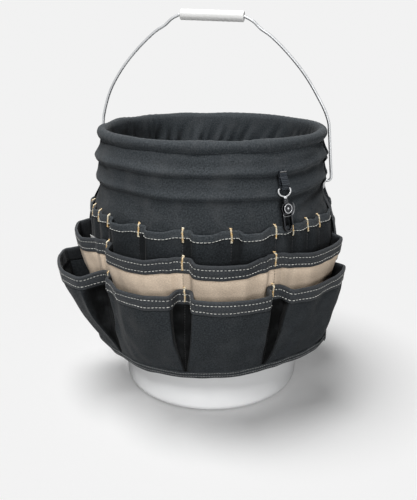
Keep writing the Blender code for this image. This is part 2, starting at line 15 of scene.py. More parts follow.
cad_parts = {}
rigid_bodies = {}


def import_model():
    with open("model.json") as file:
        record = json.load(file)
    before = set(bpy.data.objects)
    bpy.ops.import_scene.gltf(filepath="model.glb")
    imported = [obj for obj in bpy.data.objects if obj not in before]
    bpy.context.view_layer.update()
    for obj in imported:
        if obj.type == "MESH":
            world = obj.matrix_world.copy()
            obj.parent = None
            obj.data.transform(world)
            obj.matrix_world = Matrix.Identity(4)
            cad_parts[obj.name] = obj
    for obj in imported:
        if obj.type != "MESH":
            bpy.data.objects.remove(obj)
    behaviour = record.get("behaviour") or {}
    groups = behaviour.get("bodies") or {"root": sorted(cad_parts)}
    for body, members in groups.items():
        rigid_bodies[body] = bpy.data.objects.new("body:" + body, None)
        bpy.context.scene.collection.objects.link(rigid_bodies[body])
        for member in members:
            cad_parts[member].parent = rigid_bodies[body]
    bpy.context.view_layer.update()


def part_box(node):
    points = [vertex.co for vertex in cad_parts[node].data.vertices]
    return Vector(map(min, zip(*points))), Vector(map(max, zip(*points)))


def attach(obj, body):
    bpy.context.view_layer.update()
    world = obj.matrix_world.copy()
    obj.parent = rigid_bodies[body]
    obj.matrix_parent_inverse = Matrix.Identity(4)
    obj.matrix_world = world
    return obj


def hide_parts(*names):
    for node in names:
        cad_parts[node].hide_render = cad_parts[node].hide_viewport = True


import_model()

SIDES = ("front", "back")
PAIL_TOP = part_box("pail_shell")[1].z
PIVOT_Z = 0.3000

# Panels: height, radius of the middle surface at the centre, and how much further out the edges are
# where that isn't nothing
PANEL_EDGE = 82.0
PANEL_ROWS = (
    (0.3600, 0.1492), (0.3565, 0.1497), (0.3510, 0.1508), (0.3450, 0.1530), (0.3395, 0.1558),
    (0.3362, 0.1577), (0.3342, 0.1583), (0.3325, 0.1577), (0.3305, 0.1560), (0.3285, 0.1545),
    (0.3262, 0.1539), (0.3215, 0.1544), (0.3155, 0.1558), (0.3100, 0.1578), (0.3070, 0.1589),
    (0.3052, 0.1587), (0.3034, 0.1573), (0.3012, 0.1556), (0.2985, 0.1549), (0.2930, 0.1551),
    (0.2860, 0.1564, 0.0005), (0.2680, 0.1608, 0.0035), (0.2350, 0.1625, 0.0065),
    (0.1770, 0.1630, 0.0045), (0.1150, 0.1600, 0.0065), (0.0640, 0.1512, 0.0170),
)
FLARES = {"front": 1.0, "back": 0.25}
FLARE_FROM = 41.0  # the azimuth beyond which a panel flares out
PANEL_THICK = 0.0018
ARC_R = 0.16  # the radius at which the texture of a panel is measured round it
TURNS = {"front": 0.0, "back": 180.0}
# How far the front's hem rides up, by azimuth
HEM_RISE = (
    (-82.0, 0.0), (-41.0, 0.0015), (0.0, 0.0060), (25.0, 0.0080), (41.0, 0.0100), (82.0, 0.0150),
)
# Soft creases of a panel: start azimuth and height, end azimuth and height, width, depth
CREASES = (
    (84.0, 0.3000, 50.0, 0.2780, 0.0040, 0.0030),
    (80.0, 0.2830, 64.0, 0.2720, 0.0034, 0.0014),
    (70.0, 0.3480, 54.0, 0.3380, 0.0040, 0.0010),
    (-80.0, 0.2980, -52.0, 0.2740, 0.0036, 0.0018),
)
RIB_RISE = 0.0042  # how much higher the ribs are at the right slit

# Tiers: the azimuths of the seams between pockets
SEAMS = {
    ("mid", "front"): (-82.0, -40.0, 0.3, 39.0, 82.0),
    ("lower", "front"): (-82.0, -39.0, 1.2, 38.0, 82.0),
    ("mid", "back"): (-82.0, -41.0, 0.0, 41.0, 82.0),
    ("lower", "back"): (-82.0, -41.0, 0.0, 41.0, 82.0),
}
TOP_SEAMS = {
    "front": (-82.0, -71.5, -61.5, -51.0, -41.0, -20.5, 0.0, 20.0, 39.7, 48.7, 57.7, 66.5, 82.0),
    "back": (-82.0, -71.75, -61.5, -51.25, -41.0, -20.5, 0.0, 20.5, 41.0, 51.25, 61.5, 71.75, 82.0),
}
WIDE = 16.0  # degrees; a top pocket wider than this, between the outer ones, stands out
POCKET_THICK = 0.0014
# Each tier: mouth and foot; sag of the mouth; how deep a tape is lined; levels out from the panel;
# cloth and its slot; seam thread and the depth where it ends; how far a bartack goes back to the
# cloth behind; size and seed of its relief; seed of its stitches; lean of its pockets in degrees
TIERS = {
    "top": {
        "mouth": 0.2680, "foot": 0.2000, "sag": 0.0030, "lean": 0.0,
        "levels": ((0.2680, 0.00215), (0.2000, 0.00215)),
        "cloth": "black", "slot": "cloth_black", "thread": "dark thread", "seam_end": 0.040,
        "tack_back": 0.0022, "relief": 0.6, "seed": 100, "stitch_seed": 10,
    },
    "mid": {
        "mouth": 0.2350, "foot": 0.1150, "sag": 0.0040, "lean": 0.0, "lined": 0.030,
        "levels": ((0.2350, 0.0060), (0.2150, 0.0056), (0.1950, 0.0042), (0.1770, 0.0024),
                   (0.1150, 0.0024)),
        "cloth": "tan", "slot": "cloth_tan", "thread": "brown thread", "seam_end": 0.060,
        "tack_back": 0.0036, "relief": 0.7, "seed": 200, "stitch_seed": 20,
    },
    "lower": {
        "mouth": 0.1950, "foot": 0.0660, "sag": 0.0060, "lean": 1.4, "lined": 0.018,
        "levels": ((0.1950, 0.0078), (0.1770, 0.0060), (0.1500, 0.0046), (0.1150, 0.0044),
                   (0.0660, 0.0026)),
        "cloth": "black", "slot": "cloth_black", "thread": "black thread", "seam_end": 0.118,
        "tack_back": 0.0040, "relief": 1.15, "seed": 300, "stitch_seed": 30,
    },
}
# Depth, and the shares of it that a pocket has at its left and right corners
MID_POCKETS = {
    "front": ((0.019, 1.00, 0.35), (0.016, 1.00, 0.45), (0.016, 1.00, 0.40), (0.015, 0.55, 0.95)),
    "back": ((0.015, 0.40, 0.60), (0.016, 0.80, 0.60), (0.016, 1.00, 0.40), (0.019, 0.60, 0.95)),
}
LOWER_POCKETS = {
    "front": ((0.045, 1.00, 0.85), (0.025, 0.55, 0.85), (0.025, 0.95, 0.95), (0.022, 0.90, 0.95)),
    "back": ((0.022, 0.65, 0.85), (0.025, 0.95, 0.85), (0.025, 0.70, 0.95), (0.032, 0.90, 1.00)),
}
WIDE_DEPTH = 0.0100
NARROW_DEPTH = 0.0032
LEAST_FADE = 0.05  # the share of its depth that a pocket keeps at its foot
COLUMN_STEP = 0.0011
COLUMN_R = 0.18  # the radius at which a pocket's columns are counted
RELIEF_R = 0.175  # the radius at which the relief of a pocket is measured round it
CORNER_SOFTNESS = 1.3  # columns over which a fold is rounded

# Sewing
HEM_TOP = 0.0705
TAPE_WIDTH = 0.0178
TAPE_THICK = 0.0009
ROW_DEPTHS = (0.0042, 0.0134)
BAND_WIDTH = 0.0098
DASH, DASH_PITCH = 0.0029, 0.0044
THREAD_R = 0.00036
BARTACK_LENGTH = 0.0168
BARTACK_HALF_WIDTH = 0.0013
BARTACK_R = 0.00074
SEAM_THREAD_R = 0.00034
HEM_THREAD_R = 0.00040

# Skirt and roll, from the skirt's foot over the rim: radius and height of the middle surface
SKIRT_TO_ROLL = (
    (0.1366, 0.2402), (0.1394, 0.2960), (0.1421, 0.3480), (0.1428, 0.3590), (0.1440, 0.3655),
    (0.1470, 0.3694), (0.1508, 0.3697), (0.1538, 0.3674), (0.1548, 0.3642), (0.1539, 0.3612),
    (0.1521, 0.3588), (0.1512, 0.3568),
)

# Snap clip, in its own frame: X right along the cloth, Y into it, Z up, origin at the eye's pivot
CLIP_AZIMUTH = 43.2
CLIP_PIVOT_R = 0.1645
CLIP_PIVOT_Z = 0.3140
CLIP_TILT = 13.0
DISC_Z = -0.0240
DISC_R = 0.0075

# Studio
PAPER = 0.80  # how pale the floor is
FLOOR_GLOW = 0.220  # near the part
BACKDROP = 0.886  # glow further out
DOME_R = 6.0
LAMPS = (  # name, azimuth it shines from, elevation, angle across, strength, what it lights
    ("key", -5.0, 54.0, 16.0, 0.76, "part"),
    ("fill", 26.0, 12.0, 24.0, 0.44, "part"),
    ("top", -100.0, 80.0, 20.0, 0.70, "part"),
    ("floor", -80.0, 76.5, 34.0, 0.858, "floor"),
    ("back", 190.0, 38.0, 30.0, 0.42, "part"),
    ("off the floor", -12.0, -10.0, 60.0, 0.09, "pail"),
)
# Tone curve, as a camera's: shadows a little darker
TONES = ((0.020, 0.012), (0.050, 0.041), (0.120, 0.115), (0.300, 0.300))


# ---------------------------------------------------------------- numbers and fields


def ring(azimuth, r, z):
    """Points at azimuths in degrees, radii and heights."""
    angle = np.radians(azimuth)
    return np.stack(np.broadcast_arrays(r * np.sin(angle), -r * np.cos(angle), z), axis=-1)


def smoothstep(t):
    t = np.clip(t, 0.0, 1.0)
    return t * t * (3 - 2 * t)


def curve_through(knots, x, column=1):
    """A smooth curve through (x, y, ...) knots, at x; a column that a knot lacks is 0 there."""
    rows = sorted(knots)
    xs = np.array([row[0] for row in rows])
    ys = np.array([row[column] if column < len(row) else 0.0 for row in rows])
    slopes = np.gradient(ys, xs)
    x = np.clip(x, xs[0], xs[-1])
    i = np.clip(np.searchsorted(xs, x) - 1, 0, len(xs) - 2)
    span = xs[i + 1] - xs[i]
    t = (x - xs[i]) / span
    near = ys[i] * (1 + 2 * t) * (1 - t) ** 2 + slopes[i] * span * t * (1 - t) ** 2
    return near + ys[i + 1] * t * t * (3 - 2 * t) + slopes[i + 1] * span * t * t * (t - 1)


def waves(x, y, seed, length, count=14, stretch=1.0):
    """A smooth random field of about unit height: plane waves of about that length in metres.

    With stretch above 1 its folds run along y.
    """
    draw = np.random.default_rng(seed)
    total = 0.0
    for _ in range(count):
        angle = draw.uniform(0, 2 * math.pi)
        pace = 2 * math.pi / (length * draw.uniform(0.7, 1.6))
        across, along = math.cos(angle) * pace, math.sin(angle) * pace / stretch
        total = total + np.sin(x * across + y * along + draw.uniform(0, 2 * math.pi))
    return total / math.sqrt(count / 2)


def round_waves(azimuth, z, seed, fewest, most, slant, count=12):
    """Like waves, round a whole ring: whole numbers of waves that lean by slant radians a metre."""
    draw = np.random.default_rng(seed)
    angle = np.radians(azimuth)
    total = 0.0
    for _ in range(count):
        number = draw.integers(fewest, most + 1)
        lean = slant * draw.uniform(0.6, 1.4)
        total = total + np.sin(number * angle + lean * z * number + draw.uniform(0, 2 * math.pi))
    return total / math.sqrt(count / 2)


def lengths_along(points, axis):
    """Mean distance from the first row or column of a grid to each other one."""
    steps = np.linalg.norm(np.diff(points, axis=axis), axis=-1).mean(axis=1 - axis)
    return np.concatenate(([0.0], np.cumsum(steps)))


def out_of(grid, wrap=False):
    """Unit vectors out of a grid's surface."""
    down = np.gradient(grid, axis=0)
    if wrap:
        across = np.roll(grid, -1, axis=1) - np.roll(grid, 1, axis=1)
    else:
        across = np.gradient(grid, axis=1)
    out = np.cross(down, across)
    return out / np.maximum(np.linalg.norm(out, axis=-1, keepdims=True), 1e-12)


def soften(values, width):
    """A row of values averaged with its neighbours, with its ends held."""
    reach = int(math.ceil(width * 3))
    weights = np.exp(-0.5 * (np.arange(-reach, reach + 1) / width) ** 2)
    weights /= weights.sum()
    padded = np.concatenate((
        2 * values[0] - values[reach:0:-1], values, 2 * values[-1] - values[-2 : -reach - 2 : -1]
    ))
    return np.convolve(padded, weights, mode="valid")


# ---------------------------------------------------------------- objects


def add_object(name, data, material=None):
    obj = bpy.data.objects.new(name, data)
    bpy.context.scene.collection.objects.link(obj)
    if material:
        data.materials.append(material)
    return obj


def belongs(obj, body, slot, *nodes):
    """Rides a piece on its body and hides the CAD nodes it stands for; its slot is not used."""
    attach(obj, body)
    if nodes:
        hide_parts(*nodes)
    return obj


def grid_object(name, grid, material, wrap=False, thick=0.0, offset=0.0, dark=None):
    """A smooth surface from a grid, its UV in metres of cloth, thickened if thick is given.

    dark is how shaded each point is, from 0 to 1, for folds that light doesn't reach.
    """
    rows, columns = grid.shape[:2]
    index = np.arange(rows * columns).reshape(rows, columns)
    around = lengths_along(grid, 1)
    if wrap:
        index = np.concatenate((index, index[:, :1]), axis=1)
        last = np.linalg.norm(grid[:, 0] - grid[:, -1], axis=-1).mean()
        around = np.append(around, around[-1] + last)
    quads = np.stack((index[:-1, :-1], index[1:, :-1], index[1:, 1:], index[:-1, 1:]), axis=-1)
    mesh = bpy.data.meshes.new(name)
    mesh.from_pydata(grid.reshape(-1, 3).tolist(), [], quads.reshape(-1, 4).tolist())
    place = np.stack(np.meshgrid(around, -lengths_along(grid, 0)), axis=-1)
    corners = np.stack((place[:-1, :-1], place[1:, :-1], place[1:, 1:], place[:-1, 1:]), axis=2)
    layer = mesh.uv_layers.new(name="cloth")
    layer.data.foreach_set("uv", corners.reshape(-1))
    if dark is not None:
        mesh.attributes.new("dark", "FLOAT", "POINT").data.foreach_set("value", dark.ravel())
    mesh.shade_smooth()
    obj = add_object(name, mesh, material)
    if thick:
        shell = obj.modifiers.new("thickness", "SOLIDIFY")
        shell.thickness = thick
        shell.offset = offset
        shell.use_rim = True
    return obj


def threads(name, paths, radius, material, resolution=1):
    """Thread, as one curve object with a spline along each path."""
    curve = bpy.data.curves.new(name, "CURVE")
    curve.dimensions = "3D"
    curve.bevel_depth = radius
    curve.bevel_resolution = resolution
    curve.use_fill_caps = True
    for path in paths:
        spline = curve.splines.new("POLY")
        spline.points.add(len(path) - 1)
        spline.points.foreach_set("co", np.c_[path, np.ones(len(path))].ravel())
        spline.use_smooth = True
    return add_object(name, curve, material)


def turned(name, profile, material, steps=96, place=None):
    """A closed shape turned about Z from (radius, height) points that run down its outer side."""
    angles = 2 * math.pi * np.arange(steps) / steps
    shape = bmesh.new()
    rows = []
    for r, z in profile:
        if r < 1e-7:
            rows.append([shape.verts.new((0, 0, z))])
        else:
            rows.append([shape.verts.new((r * math.cos(a), r * math.sin(a), z)) for a in angles])
    for upper, lower in zip(rows, rows[1:]):
        for k in range(steps):
            j = (k + 1) % steps
            corners = dict.fromkeys((upper[k % len(upper)], lower[k % len(lower)],
                                     lower[j % len(lower)], upper[j % len(upper)]))
            if len(corners) > 2:
                shape.faces.new(list(corners))
    mesh = bpy.data.meshes.new(name)
    bmesh.ops.remove_doubles(shape, verts=shape.verts, dist=1e-7)
    bmesh.ops.recalc_face_normals(shape, faces=shape.faces)
    if place is not None:
        shape.transform(place)
    shape.to_mesh(mesh)
    shape.free()
    mesh.shade_smooth()
    mesh.set_sharp_from_angle(angle=math.radians(50))
    return add_object(name, mesh, material)


def arc(cx, cy, r, start, end, count):
    """Points on an arc between two angles in degrees."""
    angles = np.radians(np.linspace(start, end, count + 1))
    return [(cx + r * math.cos(a), cy + r * math.sin(a)) for a in angles]


def rounded(points, radius, steps=4):
    """A polyline of (x, y) whose inner corners are arcs of about that radius."""
    path = [points[0]]
    for before, corner, after in zip(points, points[1:], points[2:]):
        a, c, b = Vector(before), Vector(corner), Vector(after)
        cut = min(radius, (a - c).length * 0.45, (b - c).length * 0.45)
        start, end = c + (a - c).normalized() * cut, c + (b - c).normalized() * cut
        for k in range(steps + 1):
            t = k / steps
            path.append(tuple(start * (1 - t) ** 2 + c * 2 * t * (1 - t) + end * t * t))
    return [*path, points[-1]]


def smooth_path(points, per_span):
    """Catmull-Rom points through the given ones."""
    p = [Vector(q) for q in points]
    ends = [p[0] * 2 - p[1], *p, p[-1] * 2 - p[-2]]
    path = []
    for a, b, c, d in zip(ends, ends[1:], ends[2:], ends[3:]):
        for k in range(per_span):
            t = k / per_span
            path.append(0.5 * (2 * b + (c - a) * t + (2 * a - 5 * b + 4 * c - d) * t**2
                               + (3 * b - a - 3 * c + d) * t**3))
    return [*path, p[-1]]


# ---------------------------------------------------------------- materials


class Nodes:
    """Short calls to build one material's nodes."""

    def __init__(self, name):
        self.material = bpy.data.materials.new(name)
        self.material.use_nodes = True
        self.tree = self.material.node_tree
        self.shader = self.tree.nodes["Principled BSDF"]

    def add(self, kind, settings=None, **inputs):
        node = self.tree.nodes.new(kind)
        for key, value in (settings or {}).items():
            setattr(node, key, value)
        for key, value in inputs.items():
            self.put(node.inputs[key.replace("_", " ")], value)
        return node

    def put(self, socket, value):
        if isinstance(value, bpy.types.NodeSocket):
            self.tree.links.new(value, socket)
        else:
            socket.default_value = value

    def math(self, operation, a, b=0.0):
        node = self.tree.nodes.new("ShaderNodeMath")
        node.operation = operation
        self.put(node.inputs[0], a)
        self.put(node.inputs[1], b)
        return node.outputs[0]

    def noise(self, place, scale, detail=3.0, rough=0.55):
        node = self.add("ShaderNodeTexNoise", Vector=place, Scale=scale, Detail=detail,
                        Roughness=rough)
        return node.outputs["Fac"]

    def ramp(self, value, low, high, start=0.0, end=1.0):
        """value from start..end mapped to the colours low..high."""
        node = self.tree.nodes.new("ShaderNodeValToRGB")
        self.put(node.inputs[0], value)
        for stop, at, colour in zip(node.color_ramp.elements, (start, end), (low, high)):
            stop.position = at
            stop.color = (*colour, 1.0)
        return node.outputs["Color"]

    def between(self, value, low, high, start=0.0, end=1.0):
        node = self.add("ShaderNodeMapRange")
        self.put(node.inputs["Value"], value)
        for key, number in (("From Min", start), ("From Max", end), ("To Min", low),
                            ("To Max", high)):
            node.inputs[key].default_value = number
        return node.outputs["Result"]

    def mix(self, factor, one, other, blend="MIX"):
        node = self.tree.nodes.new("ShaderNodeMix")
        node.data_type = "RGBA"
        node.blend_type = blend
        self.put(node.inputs[0], factor)
        for socket, value in ((node.inputs[6], one), (node.inputs[7], other)):
            self.put(socket, value if isinstance(value, bpy.types.NodeSocket) else (*value, 1.0))
        return node.outputs[2]

    def shaded(self, colour, shade):
        grey = self.add("ShaderNodeCombineColor", Red=shade, Green=shade, Blue=shade).outputs[0]
        return self.mix(1.0, colour, grey, "MULTIPLY")

    def bump(self, height, distance):
        return self.add("ShaderNodeBump", Height=height, Distance=distance).outputs["Normal"]

    def finish(self, **inputs):
        for key, value in inputs.items():
            self.put(self.shader.inputs[key.replace("_", " ")], value)
        return self.material

    def point_value(self, name):
        """A mesh's own value by point, or 0 where it has none."""
        return self.add("ShaderNodeAttribute", {"attribute_name": name}).outputs["Fac"]

    def coordinates(self, kind):
        return self.tree.nodes.new("ShaderNodeTexCoord").outputs[kind]


def woven(name, dark, light, pitch, depth=0.00012, grain=0.8, rough=0.82, sheen=0.06, tint=None,
          slub=0.34):
    """Plain-woven cloth: crossing threads of that pitch, flecked yarn and slow colour changes."""
    n = Nodes(name)
    flat = n.coordinates("UV")
    solid = n.coordinates("Object")
    apart = n.add("ShaderNodeSeparateXYZ", Vector=flat)
    u = n.math("DIVIDE", apart.outputs["X"], pitch)
    v = n.math("DIVIDE", apart.outputs["Y"], pitch)
    over_u = n.math("ABSOLUTE", n.math("SINE", n.math("MULTIPLY", u, math.pi)))
    over_v = n.math("ABSOLUTE", n.math("SINE", n.math("MULTIPLY", v, math.pi)))
    cell = n.math("ADD", n.math("FLOOR", u), n.math("FLOOR", v))
    parity = n.math("MODULO", n.math("ABSOLUTE", cell), 2.0)
    warp = n.math("MULTIPLY", over_u, n.math("SUBTRACT", 1.0, n.math("MULTIPLY", parity, 0.5)))
    weft = n.math("MULTIPLY", over_v, n.math("ADD", 0.5, n.math("MULTIPLY", parity, 0.5)))
    threads_height = n.math("MAXIMUM", warp, weft)
    yarn = n.noise(flat, 1 / (pitch * 1.6), 2.0)
    fleck = n.noise(flat, 1 / (pitch * 2.2), 3.0, 0.7)
    slow = n.noise(solid, 9.0, 2.0)
    tone = n.math("ADD", n.math("MULTIPLY", fleck, grain), n.math("MULTIPLY", slow, 1 - grain))
    colour = n.ramp(tone, dark, light, 0.36, 0.64)
    # painted shade: darker between the crossing threads, times the yarn's own slub
    shade = n.between(threads_height, 0.62, 1.12)
    shade = n.math("MULTIPLY", shade, n.between(yarn, 1 - slub, 1 + slub, 0.3, 0.7))
    colour = n.shaded(colour, shade)
    # painted shade: colour darkened where the mesh's dark value says light doesn't reach
    colour = n.mix(n.point_value("dark"), colour, tuple(0.12 * c for c in dark))
    if tint:
        # random worn patches of the cloth, mixed towards the tint
        wear_and_edge_highlight = n.between(n.noise(solid, 38.0, 4.0), 0.0, 0.35, 0.5, 0.75)
        colour = n.mix(wear_and_edge_highlight, colour, tint)
    normal = n.bump(n.math("ADD", threads_height, n.math("MULTIPLY", yarn, 0.6)), depth)
    roughness = n.between(slow, rough - 0.05, rough + 0.08, 0.3, 0.7)
    return n.finish(Base_Color=colour, Roughness=roughness, Normal=normal, Sheen_Weight=sheen,
                    Sheen_Roughness=0.45, Specular_IOR_Level=0.2)


def spun(name, dark, light, twist, rough=0.6):
    """Sewing thread: a fine twist along it, with lighter and darker stitches."""
    n = Nodes(name)
    place = n.coordinates("Object")
    turn = n.add("ShaderNodeTexWave", {"bands_direction": "DIAGONAL"}, Vector=place, Scale=twist,
                 Distortion=2.0).outputs["Fac"]
    tone = n.noise(place, 260.0, 2.0)
    colour = n.ramp(tone, dark, light, 0.35, 0.65)
    # painted shade: darker in the grooves of the twist
    colour = n.shaded(colour, n.between(turn, 0.80, 1.08))
    return n.finish(Base_Color=colour, Roughness=n.between(tone, rough - 0.08, rough + 0.1),
                    Normal=n.bump(turn, 0.0001), Sheen_Weight=0.2)


def moulded(name, low, high, rough, scale=9.0, grain=0.00003, shaded=None):
    """Moulded plastic: faint flow, fine skin texture and light scuffs.

    shaded is a pair of heights between which it gets darker going up: painted shade, as under the
    cloth that hangs over the pail.
    """
    n = Nodes(name)
    place = n.coordinates("Object")
    flow = n.noise(place, scale, 3.0)
    skin = n.noise(place, 900.0, 2.0)
    colour = n.ramp(flow, low, high, 0.3, 0.7)
    streak = n.add("ShaderNodeMapping", Vector=place, Scale=(60.0, 60.0, 420.0)).outputs[0]
    marks = n.between(n.noise(streak, 1.0, 4.0, 0.7), 0.0, 0.10, 0.58, 0.75)
    colour = n.mix(marks, colour, tuple(0.8 * c for c in low))
    if shaded:
        # painted shade: darker above the lower height, darkest above the upper
        height = n.add("ShaderNodeSeparateXYZ", Vector=place).outputs["Z"]
        colour = n.mix(n.between(height, 0.0, 1.0, *shaded), colour, tuple(0.84 * c for c in low))
    roughness = n.between(n.noise(place, 60.0, 3.0), rough - 0.05, rough + 0.08, 0.3, 0.7)
    return n.finish(Base_Color=colour, Roughness=roughness, Normal=n.bump(skin, grain))


def metal(name, low, high, rough, coat=0.0, pits=0.00002):
    """Wire or plated metal: mottled finish with fine pits."""
    n = Nodes(name)
    place = n.coordinates("Object")
    mottle = n.noise(place, 30.0, 3.0)
    fine = n.noise(place, 1500.0, 2.0)
    colour = n.ramp(mottle, low, high, 0.3, 0.7)
    roughness = n.between(mottle, rough - 0.03, rough + 0.05, 0.3, 0.7)
    return n.finish(Base_Color=colour, Roughness=roughness, Normal=n.bump(fine, pits), Metallic=1.0,
                    Coat_Weight=coat)


def ribbed_webbing(name):
    """Narrow woven tape with chunky cross ribs."""
    n = Nodes(name)
    flat = n.coordinates("UV")
    apart = n.add("ShaderNodeSeparateXYZ", Vector=flat)
    u = n.math("DIVIDE", apart.outputs["X"], 0.0011)
    v = n.math("DIVIDE", apart.outputs["Y"], 0.0022)
    lean = n.math("ADD", v, n.math("MULTIPLY", n.math("PINGPONG", u, 1.0), 0.6))
    rib = n.math("ABSOLUTE", n.math("SINE", n.math("MULTIPLY", lean, math.pi)))
    cord = n.math("ABSOLUTE", n.math("SINE", n.math("MULTIPLY", u, math.pi)))
    height = n.math("ADD", rib, n.math("MULTIPLY", cord, 0.5))
    fleck = n.noise(flat, 900.0)
    # lighter on the ribs' tops and darker between them: painted highlight and shade, mixed with
    # random flecks
    tone = n.math("ADD", n.math("MULTIPLY", height, 0.5), n.math("MULTIPLY", fleck, 0.5))
    colour = n.ramp(tone, (0.0010, 0.0014, 0.0020), (0.085, 0.095, 0.110), 0.50, 1.15)
    return n.finish(Base_Color=colour, Roughness=n.between(rib, 0.42, 0.30),
                    Normal=n.bump(height, 0.0004), Specular_IOR_Level=0.25)


def make_materials():
    return {
        "charcoal": woven("charcoal canvas", (0.034, 0.039, 0.043), (0.062, 0.069, 0.075), 0.0011,
                          tint=(0.085, 0.088, 0.092)),
        "black": woven("black canvas", (0.019, 0.022, 0.024), (0.037, 0.041, 0.045), 0.0011,
                       tint=(0.050, 0.053, 0.056)),
        "skirt": woven("skirt lining", (0.030, 0.033, 0.037), (0.050, 0.054, 0.059), 0.0009,
                       depth=0.00008, rough=0.7, sheen=0.10),
        "tan": woven("tan canvas", (0.660, 0.535, 0.412), (0.750, 0.618, 0.486), 0.0010, slub=0.15,
                     depth=0.00010, rough=0.88, sheen=0.08, tint=(0.50, 0.39, 0.29)),
        "tape": woven("binding tape", (0.029, 0.032, 0.035), (0.056, 0.060, 0.065), 0.0008,
                      depth=0.00014, rough=0.7, sheen=0.08),
        "hem tape": woven("hem tape", (0.021, 0.024, 0.026), (0.042, 0.046, 0.049), 0.0009,
                          depth=0.00016, rough=0.75),
        "label": woven("label satin", (0.70, 0.70, 0.68), (0.84, 0.84, 0.82), 0.0004,
                       depth=0.00004),
        "stitch": spun("light thread", (0.46, 0.46, 0.43), (0.86, 0.86, 0.81), 700.0),
        "bartack": spun("gold thread", (0.96, 0.62, 0.24), (1.0, 0.97, 0.80), 400.0, 0.35),
        "dark thread": spun("dark thread", (0.010, 0.010, 0.012), (0.05, 0.05, 0.055), 700.0),
        "brown thread": spun("brown thread", (0.10, 0.075, 0.05), (0.22, 0.17, 0.12), 700.0),
        "grey thread": spun("grey thread", (0.12, 0.12, 0.12), (0.26, 0.26, 0.26), 700.0),
        "tonal thread": spun("tonal thread", (0.085, 0.088, 0.090), (0.20, 0.205, 0.205), 700.0),
        "black thread": spun("black thread", (0.003, 0.003, 0.004), (0.012, 0.012, 0.014), 700.0),
        "webbing": ribbed_webbing("webbing"),
        "pail": moulded("white polyethylene", (0.80, 0.805, 0.81), (0.85, 0.855, 0.86), 0.42,
                        shaded=(0.010, 0.060)),
        "grip": moulded("grip plastic", (0.80, 0.80, 0.79), (0.86, 0.86, 0.85), 0.40, 25.0,
                        0.00002),
        "wire": metal("galvanised wire", (0.50, 0.51, 0.52), (0.66, 0.67, 0.68), 0.34,
                      pits=0.000006),
        "black metal": metal("black plate", (0.030, 0.031, 0.034), (0.075, 0.077, 0.082), 0.26,
                             0.2),
        # lighter plate for the thin lines along the black clip's edges: painted edge highlight
        "wear_and_edge_highlight": metal("worn plate", (0.16, 0.165, 0.17), (0.30, 0.305, 0.31), 0.30),
        "bright": metal("nickel plate", (0.48, 0.49, 0.50), (0.72, 0.73, 0.74), 0.22),
    }


# ---------------------------------------------------------------- pail, bail and grip


def make_pail(paint):
    neck, shoulder = 0.1478, 0.2960
    wall = [(0.1464, PAIL_TOP), (0.1522, PAIL_TOP), (0.1522, 0.3612), (neck, 0.3600)]
    for z in (0.3368, 0.3083):
        wall += [(neck, z + 0.0035), (0.1548, z + 0.0020), (0.1548, z - 0.0020), (neck, z - 0.0035)]
    wall += [(neck, shoulder + 0.0040), (0.1445, shoulder - 0.004), (0.1285, 0.0062),
             (0.1270, 0.0014), (0.1232, 0.0)]
    outside = rounded(wall, 0.0016)
    foot = rounded([(0.1232, 0.0), (0.1205, 0.0), (0.1180, 0.0016), (0.0, 0.0016)], 0.0012)[1:]
    inside = rounded([(0.0, 0.0040), (0.1220, 0.0040), (0.1264, 0.0090), (0.1422, shoulder),
                      (0.1450, shoulder + 0.006), (0.1464, 0.3500), (0.1464, PAIL_TOP)], 0.0030)
    shell = turned("pail", outside + foot + inside, paint["pail"], 180)
    belongs(shell, "pail", "pail_plastic", "pail_shell")
    ear_profile = rounded([(0.0, 0.0080), (0.0021, 0.0080), (0.0021, 0.0135), (0.0040, 0.0135),
                           (0.0045, 0.0128), (0.0095, 0.0128), (0.0120, 0.0110), (0.0120, 0.0)],
                          0.0009)
    for side, word in ((1, "right"), (-1, "left")):
        aim = Matrix.Rotation(side * math.pi / 2, 4, "Y")
        aim = Matrix.Translation((side * 0.1440, 0, PIVOT_Z)) @ aim
        ear = turned(f"pail_ear_{word}", ear_profile, paint["pail"], 48, aim)
        belongs(ear, "pail", "pail_plastic")


def make_bail(paint):
    leg_x, bend, lean = 0.1645, 0.0050, 0.04
    knots = [(0.1583, 0.3650), (0.1560, 0.3800), (0.1478, 0.4020), (0.1350, 0.4245),
             (0.1190, 0.4465), (0.0980, 0.4690), (0.0775, 0.4870), (0.0640, 0.4955),
             (0.0540, 0.5040), (0.0430, 0.5095)]
    turn = arc(leg_x - bend, PIVOT_Z + bend, bend, -90, 0, 8)
    half = [Vector((0.1475, PIVOT_Z))] + [Vector(p) for p in turn] + smooth_path(knots, 8)
    drop = [smoothstep((p.y - 0.370) / 0.050) * lean for p in half]
    right = [(p.x, 0.0, p.y - d * p.x) for p, d in zip(half, drop)]
    left = [(-p.x, 0.0, p.y + d * p.x) for p, d in zip(half, drop)]
    wire = threads("bail", [np.array(left + right[::-1])], 0.0020, paint["wire"], 4)
    belongs(wire, "bail", "wire", "bail_wire")
    length, r, bore = 0.0840, 0.0068, 0.0025
    h = length / 2
    outer = rounded([(bore, h - 0.003), (bore, h), (r, h), (r, h - 0.004)], 0.0012)
    outer += [(r + 0.00012 * math.sin(k * 1.7), h - 0.004 - (length - 0.008) * k / 40)
              for k in range(41)]
    outer += rounded([(r, 0.004 - h), (r, -h), (bore, -h), (bore, 0.003 - h), (bore, 0.0)], 0.0012)
    outer += [(bore, h - 0.003)]
    aim = Matrix.Rotation(math.pi / 2 + math.atan(lean), 4, "Y")
    aim = Matrix.Translation((0, 0, knots[-1][1])) @ aim
    grip = turned("grip", outer, paint["grip"], 64, aim)
    belongs(grip, "grip", "grip_plastic", "bail_grip")


# ---------------------------------------------------------------- panels and skirt


def panel_radius(azimuth, z, side):
    flare = smoothstep((np.abs(azimuth) - FLARE_FROM) / (PANEL_EDGE - FLARE_FROM)) * FLARES[side]
    return curve_through(PANEL_ROWS, z) + curve_through(PANEL_ROWS, z, 2) * flare


